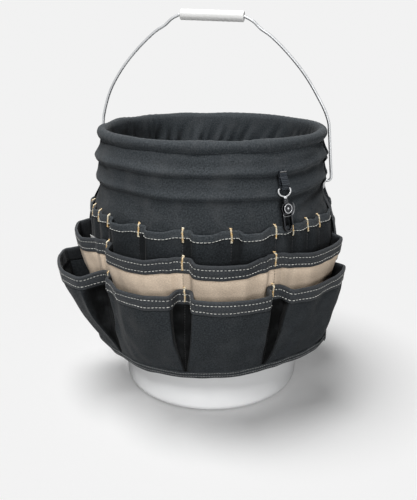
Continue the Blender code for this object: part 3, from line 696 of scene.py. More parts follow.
def raised(side, azimuth, z):
    """Heights near the foot, where the front's hem rides up towards its right corner."""
    if side == "back":
        return z + 0 * azimuth
    rise = curve_through(HEM_RISE, azimuth)
    return z + rise * smoothstep((0.1900 - z) / 0.1100)


def creases(along, z):
    """Depth of the creases, below 0."""
    relief = 0.0 * along * z
    for a, za, b, zb, width, depth in CREASES:
        start, end = (np.array([math.radians(q) * ARC_R, zq]) for q, zq in ((a, za), (b, zb)))
        way = end - start
        share = ((along - start[0]) * way[0] + (z - start[1]) * way[1]) / way.dot(way)
        apart = np.hypot(along - start[0] - way[0] * np.clip(share, 0, 1),
                         z - start[1] - way[1] * np.clip(share, 0, 1))
        fading = smoothstep(share * 4 + 0.6) * smoothstep((1 - share) * 2)
        relief -= depth * fading * np.exp(-0.5 * (apart / width) ** 2)
    return relief


def panel_relief(azimuth, z, seed):
    """How far the panel's cloth stands out from its even shape."""
    along = np.radians(azimuth) * ARC_R
    relief = 0.0007 * waves(along, z, seed, 0.085) + 0.00028 * waves(along, z, seed + 1, 0.030)
    relief = relief + creases(along, z)
    calm = smoothstep((0.3620 - z) / 0.010) * smoothstep((PANEL_EDGE - np.abs(azimuth)) / 5 + 0.3)
    return relief * calm


def make_panel(side, paint):
    azimuth = np.linspace(-PANEL_EDGE, PANEL_EDGE, 191)[None, :]
    z = np.concatenate((np.linspace(PANEL_ROWS[0][0], 0.290, 90),
                        np.linspace(0.288, PANEL_ROWS[-1][0], 76)))[:, None]
    along = np.radians(azimuth) * ARC_R
    seed = 11 if side == "front" else 31
    wobble = 0.0011 * waves(along, 0 * along, seed + 5, 0.13, 8) * smoothstep((z - 0.25) / 0.05)
    wobble = wobble - RIB_RISE * smoothstep((azimuth - 48) / 34) * smoothstep((z - 0.27) / 0.03)
    wobble = wobble * smoothstep((0.3600 - z) / 0.012)
    r = panel_radius(azimuth, z + wobble, side) + panel_relief(azimuth, z, seed)
    grid = ring(azimuth + TURNS[side], r, raised(side, azimuth, z))
    above, here, below = (panel_radius(azimuth, z + wobble + step, side)
                          for step in (0.007, 0.0, -0.007))
    # painted shade: darker low down over the pockets, along the creases, and in the grooves between
    # the ribs
    hollow = np.clip(((above + below) / 2 - here) / 0.0015, 0, 1) * smoothstep((0.350 - z) / 0.006)
    shade = 0.26 * smoothstep((0.306 - z) / 0.034) + np.clip(-creases(along, z) / 0.0045, 0, 0.6)
    shade = np.clip(shade + 0.30 * hollow, 0, 0.7)
    obj = grid_object(f"panel_{side}", grid, paint["charcoal"], thick=PANEL_THICK, dark=shade)
    belongs(obj, "pail", "cloth_charcoal", f"{side}_panel")
    return obj, (lengths_along(grid, 1)[-1], lengths_along(grid, 0)[-1])


def make_skirt(paint):
    """The skirt inside the pail and the roll over its rim, as one ring of cloth."""
    path = np.array([tuple(p) for p in smooth_path(SKIRT_TO_ROLL, 10)])
    steps = np.concatenate(([0.0], np.cumsum(np.linalg.norm(np.diff(path, axis=0), axis=1))))
    length = steps[-1]
    even = np.linspace(0, length, 110)
    radius, height = np.interp(even, steps, path[:, 0]), np.interp(even, steps, path[:, 1])
    azimuth = np.arange(0, 360, 0.75)[None, :]
    way = np.gradient(np.c_[radius, height], axis=0)
    way /= np.linalg.norm(way, axis=1, keepdims=True)
    side_r, side_z = -way[:, 1][:, None], way[:, 0][:, None]
    run = even[:, None]
    folds = round_waves(azimuth, run, 5, 16, 34, 3.2)
    folds = folds + 0.5 * round_waves(azimuth, run, 6, 36, 62, 2.4)
    hang = smoothstep((length - run - 0.028) / 0.045)
    inward = 0.0030 * hang * (folds - 1.5)
    puckers = 0.00012 * round_waves(azimuth, run, 7, 60, 110, 0.5) * smoothstep(run / 0.03)
    slow = 0.00045 * round_waves(azimuth, run, 8, 5, 16, 0.4) * (1 - hang)
    off = np.minimum(inward, 0.0002) + puckers + slow
    r = radius[:, None] - side_r * off
    z = height[:, None] - side_z * off
    grid = ring(azimuth, r, z)[::-1]
    # painted shade inside the pail: a little at the back, more towards the sides and the front, none
    # on the roll over the rim
    from_back = np.abs(azimuth - 180)
    shade = 0.10 + 0.60 * smoothstep((from_back - 20) / 45)
    shade = shade * smoothstep((length - run - 0.020) / 0.026)[::-1]
    obj = grid_object("skirt_and_roll", grid, paint["charcoal"], wrap=True, thick=0.0016,
                      dark=shade)
    belongs(obj, "pail", "cloth_charcoal", "rim_roll", "inner_flap")
    around = np.linalg.norm(np.diff(grid, axis=1), axis=-1).sum(axis=1).max()
    hem_low, hem_high, hem_puff = 0.0168, -0.0035, 0.0085
    drops = np.linspace(hem_low, hem_high, 14)[:, None, None]
    hem_rows = grid[-1:] - np.array([0, 0, 1]) * drops
    inner, outer = (hem_rows * np.array([size, size, 1.0]) for size in (1 - hem_puff, 1 + hem_puff))
    folded = np.concatenate((outer[::-1], inner))[::-1]
    hem = grid_object("skirt_hem", folded, paint["tape"], wrap=True, thick=0.0008)
    belongs(hem, "pail", "cloth_black", "inner_hem")
    return obj, hem, (around, length)


# ---------------------------------------------------------------- pocket tiers


class Strip:
    """A strip of cloth: its grid, and points on or off it by length along and depth below."""

    def __init__(self, grid, seams, dark=None):
        self.grid = grid
        self.dark = dark
        self.out = out_of(grid)
        self.along = np.concatenate(
            ([0.0], np.cumsum(np.linalg.norm(np.diff(grid[0], axis=0), axis=1))))
        self.down = lengths_along(grid, 0)
        self.up = grid[0] - grid[1]
        self.up /= np.linalg.norm(self.up, axis=1, keepdims=True)
        self.seams = [self.along[k] for k in seams]

    def pick(self, values, u, v):
        """values at fractions between rows and columns."""
        columns = np.interp(u, self.along, np.arange(len(self.along)))
        rows = np.interp(v, self.down, np.arange(len(self.down)))
        c, r = np.minimum(columns.astype(int), values.shape[1] - 2), np.minimum(
            rows.astype(int), values.shape[0] - 2)
        fc, fr = (columns - c)[..., None], (rows - r)[..., None]
        upper = values[r, c] * (1 - fc) + values[r, c + 1] * fc
        lower = values[r + 1, c] * (1 - fc) + values[r + 1, c + 1] * fc
        return upper * (1 - fr) + lower * fr

    def at(self, u, v, lift):
        """Points u along the mouth, v below it and lift off the cloth; v may be just above it."""
        u, v, lift = np.broadcast_arrays(np.asarray(u, float), np.asarray(v, float), lift)
        surface = self.pick(self.grid, u, np.maximum(v, 0)) + self.pick(
            self.out, u, np.maximum(v, 0)) * lift[..., None]
        over = self.pick(self.up[None].repeat(2, 0), u, 0 * v)
        return surface + over * np.maximum(-v, 0)[..., None]


# A pleat from a seam to its pocket: share at the mouth, depth there, share below the tape, depth
# there, and how much painted shade it has inside
BOX_PLEAT = (
    (0.000, 0.00, 0.000, 0.00, 1.0),
    (0.045, 0.02, 0.060, 0.00, 1.0),
    (0.074, 0.10, 0.120, 0.02, 1.0),
    (0.090, 0.34, 0.142, 0.12, 1.0),
    (0.102, 0.64, 0.122, 0.60, 1.0),
    (0.113, 0.86, 0.108, 0.92, 0.5),
    (0.135, 0.94, 0.116, 0.96, 0.0),
    (0.180, 0.98, 0.180, 0.98, 0.0),
)
MID_SHADE = (0.25, 1.5)  # how much painted shade the tan folds get before a seam, and after it
SOFT_PLEAT = (
    (0.000, 0.00, 0.000, 0.00, 0.20),
    (0.078, 0.00, 0.082, 0.00, 0.24),
    (0.100, 0.30, 0.100, 0.34, 0.28),
    (0.140, 0.80, 0.120, 0.80, 0.20),
    (0.200, 0.92, 0.190, 0.90, 0.10),
)
GUSSET = (
    (0.000, 0.00, 0.000, 0.00, 0.0),
    (0.055, 0.00, 0.060, 0.00, 0.0),
    (0.066, 0.10, 0.070, 0.06, 0.0),
    (0.072, 0.88, 0.073, 0.90, 0.0),
    (0.120, 0.95, 0.120, 0.95, 0.0),
)


def pocket_folds(tier, side):
    """For each pocket: its seams, depth, and folds: BOX_PLEAT's rows and the share at the foot."""
    pockets = []
    if tier == "top":
        seams = TOP_SEAMS[side]
        # each fold of a top pocket: share across, depth, and its painted shade
        for k, (a, b) in enumerate(zip(seams, seams[1:])):
            if b - a > WIDE:
                folds = [(0.0, 0, 0.5), (0.17, 0, 0.6), (0.22, 0.75, 0.3), (0.30, 1.0, 0),
                         (0.60, 0.9, 0), (0.84, 0.1, 0.1), (1, 0, 0.2)]
                depth = WIDE_DEPTH * (0.85, 1.0, 0.9, 1.0)[k % 4]
            else:
                folds = [(0.0, 0, 0.3), (0.12, 0, 0.3), (0.4, 1.0, 0), (0.6, 1.0, 0),
                         (0.88, 0, 0.3), (1, 0, 0.3)]
                depth = NARROW_DEPTH
            pockets.append((a, b, depth, [(s, d, s, d, dark, s) for s, d, dark in folds]))
        return pockets
    shapes, seams = (MID_POCKETS if tier == "mid" else LOWER_POCKETS)[side], SEAMS[tier, side]
    for k, (a, b, (depth, left, right)) in enumerate(zip(seams, seams[1:], shapes)):
        folds = []
        inner = SOFT_PLEAT if tier == "mid" else BOX_PLEAT
        for share_of, level, pleat in ((1, left, GUSSET if k == 0 else inner),
                                       (-1, right, GUSSET if k == 3 else inner)):
            end = 0 if share_of > 0 else 1
            dim = MID_SHADE[share_of > 0] if tier == "mid" else 1.0
            half = [(end + share_of * sm, dm * level, end + share_of * sb, db * level, dim * dark,
                     end + share_of * (sm if tier == "mid" else gathered(sm)))
                    for sm, dm, sb, db, dark in pleat]
            half.append((end + share_of * 0.36, 1.0, end + share_of * 0.36, 1.0, 0.0,
                         end + share_of * (0.36 if tier == "mid" else 0.34)))
            folds += half if share_of > 0 else half[::-1]
        pockets.append((a, b, depth, folds))
    return pockets


def gathered(share):
    """Where a fold is at the foot, where the pleats close up to the seam."""
    return share * 0.1 if share < 0.115 else 0.0115 + (share - 0.115) * 1.30


def make_strip(tier, side):
    facts = TIERS[tier]
    mouth, foot = facts["mouth"], facts["foot"]
    rows = max(24, int((mouth - foot) / 0.0022))
    drop = np.linspace(0, 1, rows)[:, None]
    height = mouth + (foot - mouth) * drop
    azimuths, outs, darks, seams, count = [], [], [], [0], 0
    deep = BAND_WIDTH - 0.0030 if tier == "top" else 0.0130
    below_tape = smoothstep(((mouth - foot) * drop - deep) / (0.0060 if tier == "top" else 0.0120))
    for a, b, depth, folds in pocket_folds(tier, side):
        for start, end in zip(folds, folds[1:]):
            reach = math.radians(b - a) * COLUMN_R
            wide = max(math.hypot(reach * (end[k] - start[k]), depth * (end[k + 1] - start[k + 1]))
                       for k in (0, 2))
            n = max(2, int(wide / COLUMN_STEP))
            t = (np.arange(n) / n)[None, :]
            at_mouth, out_mouth, at_body, out_body, dark, at_foot = (
                p + (q - p) * t for p, q in zip(start, end))
            share = at_mouth + (at_body - at_mouth) * below_tape
            share = share + (at_foot - share) * drop**2.6
            darks.append(dark * below_tape)
            azimuths.append(a + (b - a) * share)
            outs.append(depth * (out_mouth + (out_body - out_mouth) * below_tape))
            count += n
        seams.append(count)
    azimuths.append(np.full((rows, 1), PANEL_EDGE))
    outs.append(np.zeros((rows, 1)))
    darks.append(np.zeros((rows, 1)))
    azimuth, out = np.concatenate(azimuths, axis=1), np.concatenate(outs, axis=1)
    azimuth = np.apply_along_axis(soften, 1, azimuth, CORNER_SOFTNESS)
    azimuth = azimuth - facts["lean"] * drop * (1 - np.abs(azimuth) / PANEL_EDGE)
    out = np.apply_along_axis(soften, 1, out, CORNER_SOFTNESS)
    bulge = out[:1] / max(out.max(), 1e-6)
    height = height - facts["sag"] * smoothstep(bulge) * (1 - drop) ** 2
    share = np.clip((height - foot) / (mouth - foot), 0, 1)
    closing = np.clip((height - HEM_TOP) / (mouth - HEM_TOP), 0, 1)
    curve = {"top": share**1.6, "mid": share, "lower": np.sin(closing * math.pi / 2)}[tier]
    fade = LEAST_FADE + (1 - LEAST_FADE) * curve
    level = curve_through(facts["levels"], height)
    steps = np.hypot(np.diff(np.radians(azimuth[0])) * RELIEF_R, np.diff(out[0]))
    along = np.concatenate(([0.0], np.cumsum(steps)))[None, :]
    seed = facts["seed"] + (0 if side == "front" else 50)
    still = np.min([np.abs(along - along[0, k]) for k in seams], axis=0)
    loose = smoothstep(still / 0.020) * smoothstep(drop * 6 + 0.35) * smoothstep((1 - drop) * 6)
    relief = 0.0011 * waves(along, height, seed, 0.060, stretch=1.6)
    relief = relief + 0.00045 * waves(along, height, seed + 1, 0.022, stretch=1.8)
    relief = relief * loose * facts["relief"]
    valley = 0.0005 * np.exp(-0.5 * (still / 0.0011) ** 2)
    r = panel_radius(azimuth, height, side) + level + out * fade + relief - valley
    grid = ring(azimuth + TURNS[side], r, raised(side, azimuth, height))
    return Strip(grid, seams, np.concatenate(darks, axis=1))


def tape_section(width, lift, puff, inside):
    """(depth below the mouth, lift) round a folded tape, from its outer edge over the mouth.

    It puffs up between its rows of stitches, and inside the pocket it goes down as deep as inside.
    """
    rows = [0.0, *ROW_DEPTHS, width]
    outer = []
    for v in np.linspace(width, 0.0009, 20):
        a, b = next(span for span in zip(rows, rows[1:]) if v <= span[1])
        outer.append((v, lift + puff * math.sin(math.pi * (v - a) / (b - a))))
    angles = np.radians(np.linspace(10, 170, 7))
    over = [(0.0006 - lift * 1.05 * math.sin(a), lift * 1.1 * math.cos(a)) for a in angles]
    inner = [(v, -lift) for v in np.linspace(0.0012, inside, 12)]
    return outer + over + inner


def make_tape(name, strip, section, thick, material, step=0.0016):
    u = np.linspace(0, strip.along[-1], int(strip.along[-1] / step))[None, :]
    v = np.array([p[0] for p in section])[:, None]
    lift = np.array([p[1] for p in section])[:, None]
    grid = strip.at(u, v + 0 * u, lift + 0 * u)
    # painted shade on the tape's inner faces, down inside the pocket
    dark = 0.62 * smoothstep(v / 0.006) * (lift < 0) + 0 * u
    return grid_object(name, grid[::-1], material, thick=thick, dark=dark[::-1])


def dash_paths(strip, v, lift, start, end, pitch=DASH_PITCH, dash=DASH, seed=1):
    """Stitches along a strip, each a short arch that dips into the cloth at its ends."""
    draw = np.random.default_rng(seed)
    paths = []
    for k in range(int((end - start) / pitch)):
        u = start + pitch * (k + 0.5)
        length = dash * draw.uniform(0.88, 1.08)
        tilt = draw.uniform(-0.00012, 0.00012)
        t = np.linspace(-0.5, 0.5, 5)
        arch = lift + np.array([-0.00045, 0.00005, 0.00018, 0.00005, -0.00045])
        paths.append(strip.at(u + t * length, v + t * tilt * 2, arch))
    return paths


def seam_paths(strip, u, start, end, lift, pitch=0.0036, dash=0.0026):
    """Stitches down a seam."""
    paths = []
    for k in range(int((end - start) / pitch)):
        t = np.linspace(-0.5, 0.5, 4)
        v = start + pitch * (k + 0.5) + t * dash
        paths.append(strip.at(u + 0 * t, v, lift + np.array([-0.0004, 0.0001, 0.0001, -0.0004])))
    return paths


def bartack_path(strip, u, lift, back, seed):
    """A dense zigzag over a mouth at a seam; above the mouth it goes back to the cloth behind."""
    draw = np.random.default_rng(seed)
    count, above = 44, 0.0028
    v = np.linspace(-above, BARTACK_LENGTH - above, count)
    lean = draw.uniform(-0.0008, 0.0008)
    centre = u + 0.00035 * np.sin(v * draw.uniform(280, 420) + draw.uniform(0, 6)) + lean * v / 0.02
    zigzag = BARTACK_HALF_WIDTH * np.where(np.arange(count) % 2, 1, -1)
    zigzag = zigzag * draw.uniform(0.8, 1.1, count)
    lifts = lift - back * smoothstep(-v / 0.0022) + 0.00015 * np.sin(np.arange(count))
    lifts[0] -= 0.0012
    lifts[-1] -= 0.0012
    return strip.at(centre + zigzag, v, lifts)


def make_tier(tier, side, paint):
    facts = TIERS[tier]
    strip = make_strip(tier, side)
    cloth = grid_object(f"pockets_{tier}_{side}", strip.grid, paint[facts["cloth"]],
                        thick=POCKET_THICK, dark=strip.dark)
    belongs(cloth, "pail", facts["slot"], f"{tier}_pockets_{side}")
    pieces = []
    length = strip.along[-1]
    seed = facts["stitch_seed"] + len(side)
    if tier == "top":
        lift = POCKET_THICK / 2 + 0.0005
        section = [(BAND_WIDTH, lift - 0.0004), (BAND_WIDTH - 0.0004, lift),
                   (BAND_WIDTH - 0.0014, lift), (0.0060, lift + 0.0002),
                   (0.0022, lift + 0.0002), (0.0008, lift + 0.0001),
                   (-0.0001, lift * 0.7), (-0.0005, 0.0), (-0.0001, -lift * 0.7), (0.0010, -lift),
                   (0.0040, -lift), (BAND_WIDTH - 0.001, -lift)]
        tape = make_tape(f"band_{tier}_{side}", strip, section, 0.0005, paint["charcoal"])
        belongs(tape, "pail", "cloth_black")
        face = lift + 0.00045
        rows = [BAND_WIDTH - 0.0010]
    else:
        lift = POCKET_THICK / 2 + 0.0002 + TAPE_THICK / 2
        section = tape_section(TAPE_WIDTH, lift, 0.00045, facts["lined"])
        tape = make_tape(f"binding_{tier}_{side}", strip, section, TAPE_THICK, paint["tape"])
        belongs(tape, "pail", "tape_black", f"{tier}_binding_{side}")
        face = lift + TAPE_THICK / 2 + 0.0001
        rows = ROW_DEPTHS
    pieces.append(tape)
    dashes = []
    for k, v in enumerate(rows):
        dashes += dash_paths(strip, v, face, 0.0015, length - 0.0015, seed=seed + k)
    stitches = threads(f"stitches_{tier}_{side}", dashes, THREAD_R, paint["stitch"])
    belongs(stitches, "pail", "tape_black")
    pieces.append(stitches)
    inner_seams = strip.seams[1:-1]
    tacks = [bartack_path(strip, u, face + 0.0005, facts["tack_back"], seed + 7 * k)
             for k, u in enumerate(inner_seams)]
    bartacks = threads(f"bartacks_{tier}_{side}", tacks, BARTACK_R, paint["bartack"])
    belongs(bartacks, "pail", "tape_black")
    pieces.append(bartacks)
    seam_lift = POCKET_THICK / 2 + 0.0001
    start = BARTACK_LENGTH - 0.0010
    paths = [p for u in inner_seams
             for p in seam_paths(strip, u, start, facts["seam_end"], seam_lift)]
    seam = threads(f"seams_{tier}_{side}", paths, SEAM_THREAD_R, paint[facts["thread"]])
    belongs(seam, "pail", "tape_black")
    pieces.append(seam)
    return cloth, strip, pieces


# ---------------------------------------------------------------- edges


def make_hem(side, paint):
    """The tape folded round the foot of a panel and of its lowest pockets."""
    azimuth = np.linspace(-PANEL_EDGE - 1.0, PANEL_EDGE + 1.0, 260)[None, :]
    top, bottom, mid, hem_r = HEM_TOP, 0.0600, 0.0016, 0.165
    section = [(top, 0.0046), (top - 0.0020, 0.0050), (top - 0.0052, 0.0050),
               (bottom + 0.0022, 0.0047), (bottom + 0.0006, 0.0036), (bottom, mid),
               (bottom + 0.0006, -0.0006),
               (bottom + 0.0024, -0.0014), (top - 0.0010, -0.0016)]
    along = np.radians(azimuth) * hem_r
    droop = 0.0008 * waves(along, 0 * along, 61 if side == "front" else 62, 0.09, 8)
    z = np.array([p[0] for p in section])[:, None] + droop
    off = np.array([p[1] for p in section])[:, None]
    r = panel_radius(azimuth, z, side) + off + 0.0004 * waves(along, z, 63, 0.03, 10)
    grid = ring(azimuth + TURNS[side], r, raised(side, azimuth, z))
    hem = grid_object(f"hem_{side}", grid, paint["hem tape"], thick=0.0009)
    belongs(hem, "pail", "tape_black", f"hem_binding_{side}")
    strip = Strip(grid, [0, grid.shape[1] - 1])
    paths = []
    for k, v in enumerate((0.0024, 0.0066)):
        paths += dash_paths(strip, v, 0.00065, 0.002, strip.along[-1] - 0.002, 0.0034, 0.0026,
                            70 + k)
    stitches = threads(f"hem_stitches_{side}", paths, HEM_THREAD_R, paint["tonal thread"])
    belongs(stitches, "pail", "tape_black")
    return [hem, stitches]


def make_slit_tape(side, word, paint):
    """The tape folded round a panel's side edge, over the ends of its layers."""
    sign = -1 if word == "left" else 1
    z = np.linspace(0.3555, 0.0603, 110)[:, None]
    outs = ((0.36, 0.0017), (0.285, 0.0019), (0.268, 0.0038), (0.235, 0.0084), (0.177, 0.0086),
            (0.115, 0.0064), (0.0603, 0.0052))
    out = curve_through(outs, z)
    inn = -0.0017
    shape = [(79.6, 0.0, 1), (80.4, 0.05, 1), (81.5, 0.08, 1), (82.4, 0.0, 1), (83.0, -0.25, 1),
             (83.25, -0.5, 0.5), (83.0, 0.25, 0), (82.4, 0.0, 0), (81.2, 0.0, 0), (79.8, 0.0, 0)]
    edge = np.array([s[0] for s in shape])[None, :]
    outer = np.array([s[2] for s in shape])[None, :]
    r = panel_radius(PANEL_EDGE + 0 * z, z, side) + inn + (out - inn) * outer
    edge = edge + 0.12 * waves(z, 0 * z, 81 + len(side + word), 0.05, 8)
    grid = ring(sign * edge + TURNS[side], r, raised(side, sign * edge, z))
    if sign > 0:
        grid = grid[:, ::-1]
    tape = grid_object(f"slit_tape_{side}_{word}", grid, paint["tape"], thick=0.0008)
    belongs(tape, "pail", "tape_black", f"slit_tape_{side}_{word}")
    return tape


def make_label(paint):
    """A small blank label sewn inside the mouth of the left middle pocket."""
    left, right = -57.4, -48.6
    azimuth = np.linspace(left, right, 18)[None, :]
    t = np.linspace(0, 1, 14)[:, None]
    z = 0.2336 - 0.0140 * t - 0.0018 * (azimuth - right) / (left - right)
    out = 0.0080 + 0.0016 * (1 - t) ** 2 + 0.0004 * np.sin(azimuth * 1.3)
    grid = ring(azimuth, panel_radius(azimuth, z, "front") + out, z)
    label = grid_object("label", grid, paint["label"], thick=0.0004)
    belongs(label, "pail", "label", "care_label")
    return label


def make_cover(paint):
    skirt, hem, flat = make_skirt(paint)
    for side in SIDES:
        panel, flat = make_panel(side, paint)
        edges = make_hem(side, paint)
        edges += [make_slit_tape(side, word, paint) for word in ("left", "right")]
        for tier in TIERS:
            cloth, strip, pieces = make_tier(tier, side, paint)
            if tier == "mid" and side == "front":
                pieces.append(make_label(paint))


# ---------------------------------------------------------------- snap clip


def carried(place, points, y):
    """(x, z) points at a depth y in a place's own frame, in the world."""
    return np.array([tuple(place @ Vector((px, y, pz))) for px, pz in points])


def clip_places():
    pivot = ring(CLIP_AZIMUTH, CLIP_PIVOT_R, CLIP_PIVOT_Z)
    upright = Matrix.Translation(pivot) @ Matrix.Rotation(math.radians(CLIP_AZIMUTH), 4, "Z")
    return upright, upright @ Matrix.Rotation(math.radians(-CLIP_TILT), 4, "X")


def plate(name, outline, thick, round_off, material, place, y=0.0):
    """A flat plate with rounded edges, in the XZ plane of its place."""
    curve = bpy.data.curves.new(name, "CURVE")
    curve.dimensions = "2D"
    curve.fill_mode = "BOTH"
    curve.extrude = thick / 2 - round_off
    curve.bevel_depth = round_off
    curve.bevel_resolution = 3
    curve.offset = -round_off
    spline = curve.splines.new("POLY")
    spline.points.add(len(outline) - 1)
    for point, (x, z) in zip(spline.points, outline):
        point.co = (x, z, 0.0, 1.0)
    spline.use_cyclic_u = True
    obj = add_object(name, curve, material)
    obj.matrix_world = place @ Matrix.Translation((0, y, 0)) @ Matrix.Rotation(math.pi / 2, 4, "X")
    return obj


def make_clip(paint):
    upright, tilted = clip_places()
    # webbing loop
    back = [(0.0056, 0.0205), (0.0050, 0.0135), (0.0026, 0.0048)]
    loop = arc(0, 0, 0.0022, 20, -200, 11)
    front = [(-0.0023, 0.0050), (0.0018, 0.0130), (0.0038, 0.0185), (0.0041, 0.0205)]
    path = smooth_path([*back, *loop, *front], 10)
    x = np.linspace(-0.00525, 0.00525, 29)
    run = 0.0
    rows = []
    for p, q in zip(path, [*path[1:], path[-1]]):
        braid = 0.00042 * np.sin(2 * math.pi * (run / 0.0042 + np.abs(x) / 0.0050))
        braid = braid * np.cos(x * 1500)
        rows.append([tuple(upright @ Vector((dx * (1 + 0.03 * math.sin(run * 1366)), p.x + b, p.y)))
                     for dx, b in zip(x, braid)])
        run += (q - p).length
    strap = grid_object("clip_webbing", np.array(rows)[::-1], paint["webbing"], thick=0.0012)
    belongs(strap, "pail", "webbing", "clip_strap")
    bar = [upright @ Vector((dx, 0.0030, 0.0192)) for dx in np.linspace(-0.0046, 0.0046, 30)]
    zig = [(p.x, p.y, p.z + 0.0007 * (-1) ** k) for k, p in enumerate(bar)]
    sewn = threads("clip_stitch_bar", [np.array(zig)], 0.00032, paint["grey thread"])
    belongs(sewn, "pail", "webbing")

    # D-shaped eye with its swivel post
    w, corner, wire_r = 0.0088, 0.0024, 0.00105
    outline = arc(w - corner, -corner, corner, 90, 0, 6)
    outline += [(px, -0.0030 + (pz + 0.0030) * 0.75)
                for px, pz in arc(0, -0.0030, w, 0, -180, 40)[1:-1]]
    outline += arc(corner - w, -corner, corner, 180, 90, 6)
    eye = threads("clip_ring", [carried(tilted, outline, 0)], wire_r, paint["bright"], 4)
    eye.data.splines[0].use_cyclic_u = True
    belongs(eye, "clip_eye", "clip_bright", "clip_eye")
    ball = arc(0, -0.0108, 0.0024, 90, -60, 10)
    profile = [(0.0, -0.0084), *ball[1:], (0.0010, -0.0134), (0.0010, -0.0140), (0.0018, -0.0146),
               (0.0018, -0.0160), (0.0, -0.0176)]
    post = turned("clip_swivel_post", profile, paint["bright"], 40, tilted)
    belongs(post, "clip_eye", "clip_bright")

    # hook body
    bend, outer, inner = -0.0455, 0.0063, 0.0039
    hook = [(-0.0026, -0.0152)] + arc(0, DISC_Z, DISC_R, 112, 215, 18)
    hook += [(-outer, -0.0315), *arc(0, bend, outer, 180, 345, 28)]
    tip = (0.5 * (outer + inner), bend + 0.0002)
    hook += arc(tip[0], tip[1], (outer - inner) / 2, -10, 190, 10)
    hook += [*arc(0, bend, inner, 0, -180, 24)[1:], (-inner, -0.0335)]
    hook += [*arc(0, DISC_Z, DISC_R, 245, 428, 30), (0.0026, -0.0152)]
    body = plate("clip_hook_body", hook, 0.0036, 0.0007, paint["black metal"], tilted)
    belongs(body, "clip_hook", "clip_metal", "clip_hook")
    profile = rounded([(0.0016, -0.0128), (0.0028, -0.0128), (0.0033, -0.0138), (0.0030, -0.0160),
                       (0.0033, -0.0182), (0.0022, -0.0196), (0.0, -0.0196)], 0.0004)
    barrel = turned("clip_barrel", profile, paint["black metal"], 40, tilted)
    belongs(barrel, "clip_hook", "clip_metal")
    facing_out = tilted @ Matrix.Translation((0, 0, DISC_Z)) @ Matrix.Rotation(math.pi / 2, 4, "X")
    profile = rounded([(0.0, 0.0040), (0.0046, 0.0040), (0.0050, 0.0038), (0.0050, 0.0036),
                       (0.0, 0.0036)], 0.0002)
    cap = turned("clip_cap", profile, paint["black metal"], 56, facing_out)
    belongs(cap, "clip_hook", "clip_metal")
    rim = turned("clip_cap_rim", arc(0.0053, 0.0041, 0.0005, 200, -160, 18), paint["bright"], 56,
                 facing_out)
    belongs(rim, "clip_hook", "clip_bright")
    # a lighter metal line along the plate's foot: painted edge highlight
    foot = [(-0.0066, -0.0302), (-0.0064, -0.0318), (-0.0046, -0.0330), (0.0026, -0.0330),
            (0.0044, -0.0322)]
    foot = carried(tilted, smooth_path(foot, 6), -0.0022)
    edge = threads("clip_plate_foot", [foot], 0.0005, paint["wear_and_edge_highlight"], 3)
    belongs(edge, "clip_hook", "clip_bright")

    # gate: hub and thumb arc
    front = -0.0021
    hub = [*arc(0, DISC_Z, 0.0049, 60, 300, 26), *arc(0, DISC_Z, 0.0092, -54, 22, 14)]
    face = plate("clip_gate_hub", hub, 0.0014, 0.0003, paint["black metal"], tilted, front - 0.0007)
    belongs(face, "clip_gate", "clip_metal", "clip_gate")
    arm = [*arc(0, DISC_Z, DISC_R + 0.0006, 26, -60, 16), (inner, -0.0325),
           (inner + 0.0002, bend + 0.0014), (0.0061, bend + 0.0014), (0.0062, -0.0320),
           *arc(0, DISC_Z, 0.0096, -50, 26, 16)]
    lever = plate("clip_gate_lever", arm, 0.0050, 0.0005, paint["black metal"], tilted,
                  front + 0.0009)
    belongs(lever, "clip_gate", "clip_metal")
    # a lighter metal line along the lever's edge: painted edge highlight
    lip = carried(tilted, arc(0, DISC_Z, 0.0096, 40, -58, 24), front - 0.0014)
    edge = threads("clip_lever_edge", [lip], 0.0005, paint["wear_and_edge_highlight"], 3)
    belongs(edge, "clip_gate", "clip_bright")

    # rivet and spring
    profile = rounded([(0.0, 0.0052), (0.0009, 0.0050), (0.0014, 0.0042), (0.0013, 0.0040),
                       (0.0013, -0.0022), (0.0024, -0.0023), (0.0020, -0.0030), (0.0, -0.0030)],
                      0.0003)
    rivet = turned("clip_rivet", profile, paint["bright"], 32, facing_out)
    belongs(rivet, "clip_hook", "clip_bright", "clip_gate_pin")
    coil = []
    for k in range(73):
        a = 2 * math.pi * k / 24
        coil.append(tuple(tilted @ Vector((0.0030 * math.cos(a), -0.0016 + 0.0012 * k / 72,
                                           DISC_Z + 0.0030 * math.sin(a)))))
    spring = threads("clip_spring", [np.array(coil)], 0.00022, paint["bright"])
    belongs(spring, "clip_hook", "clip_bright", "clip_gate_spring")


# ---------------------------------------------------------------- studio


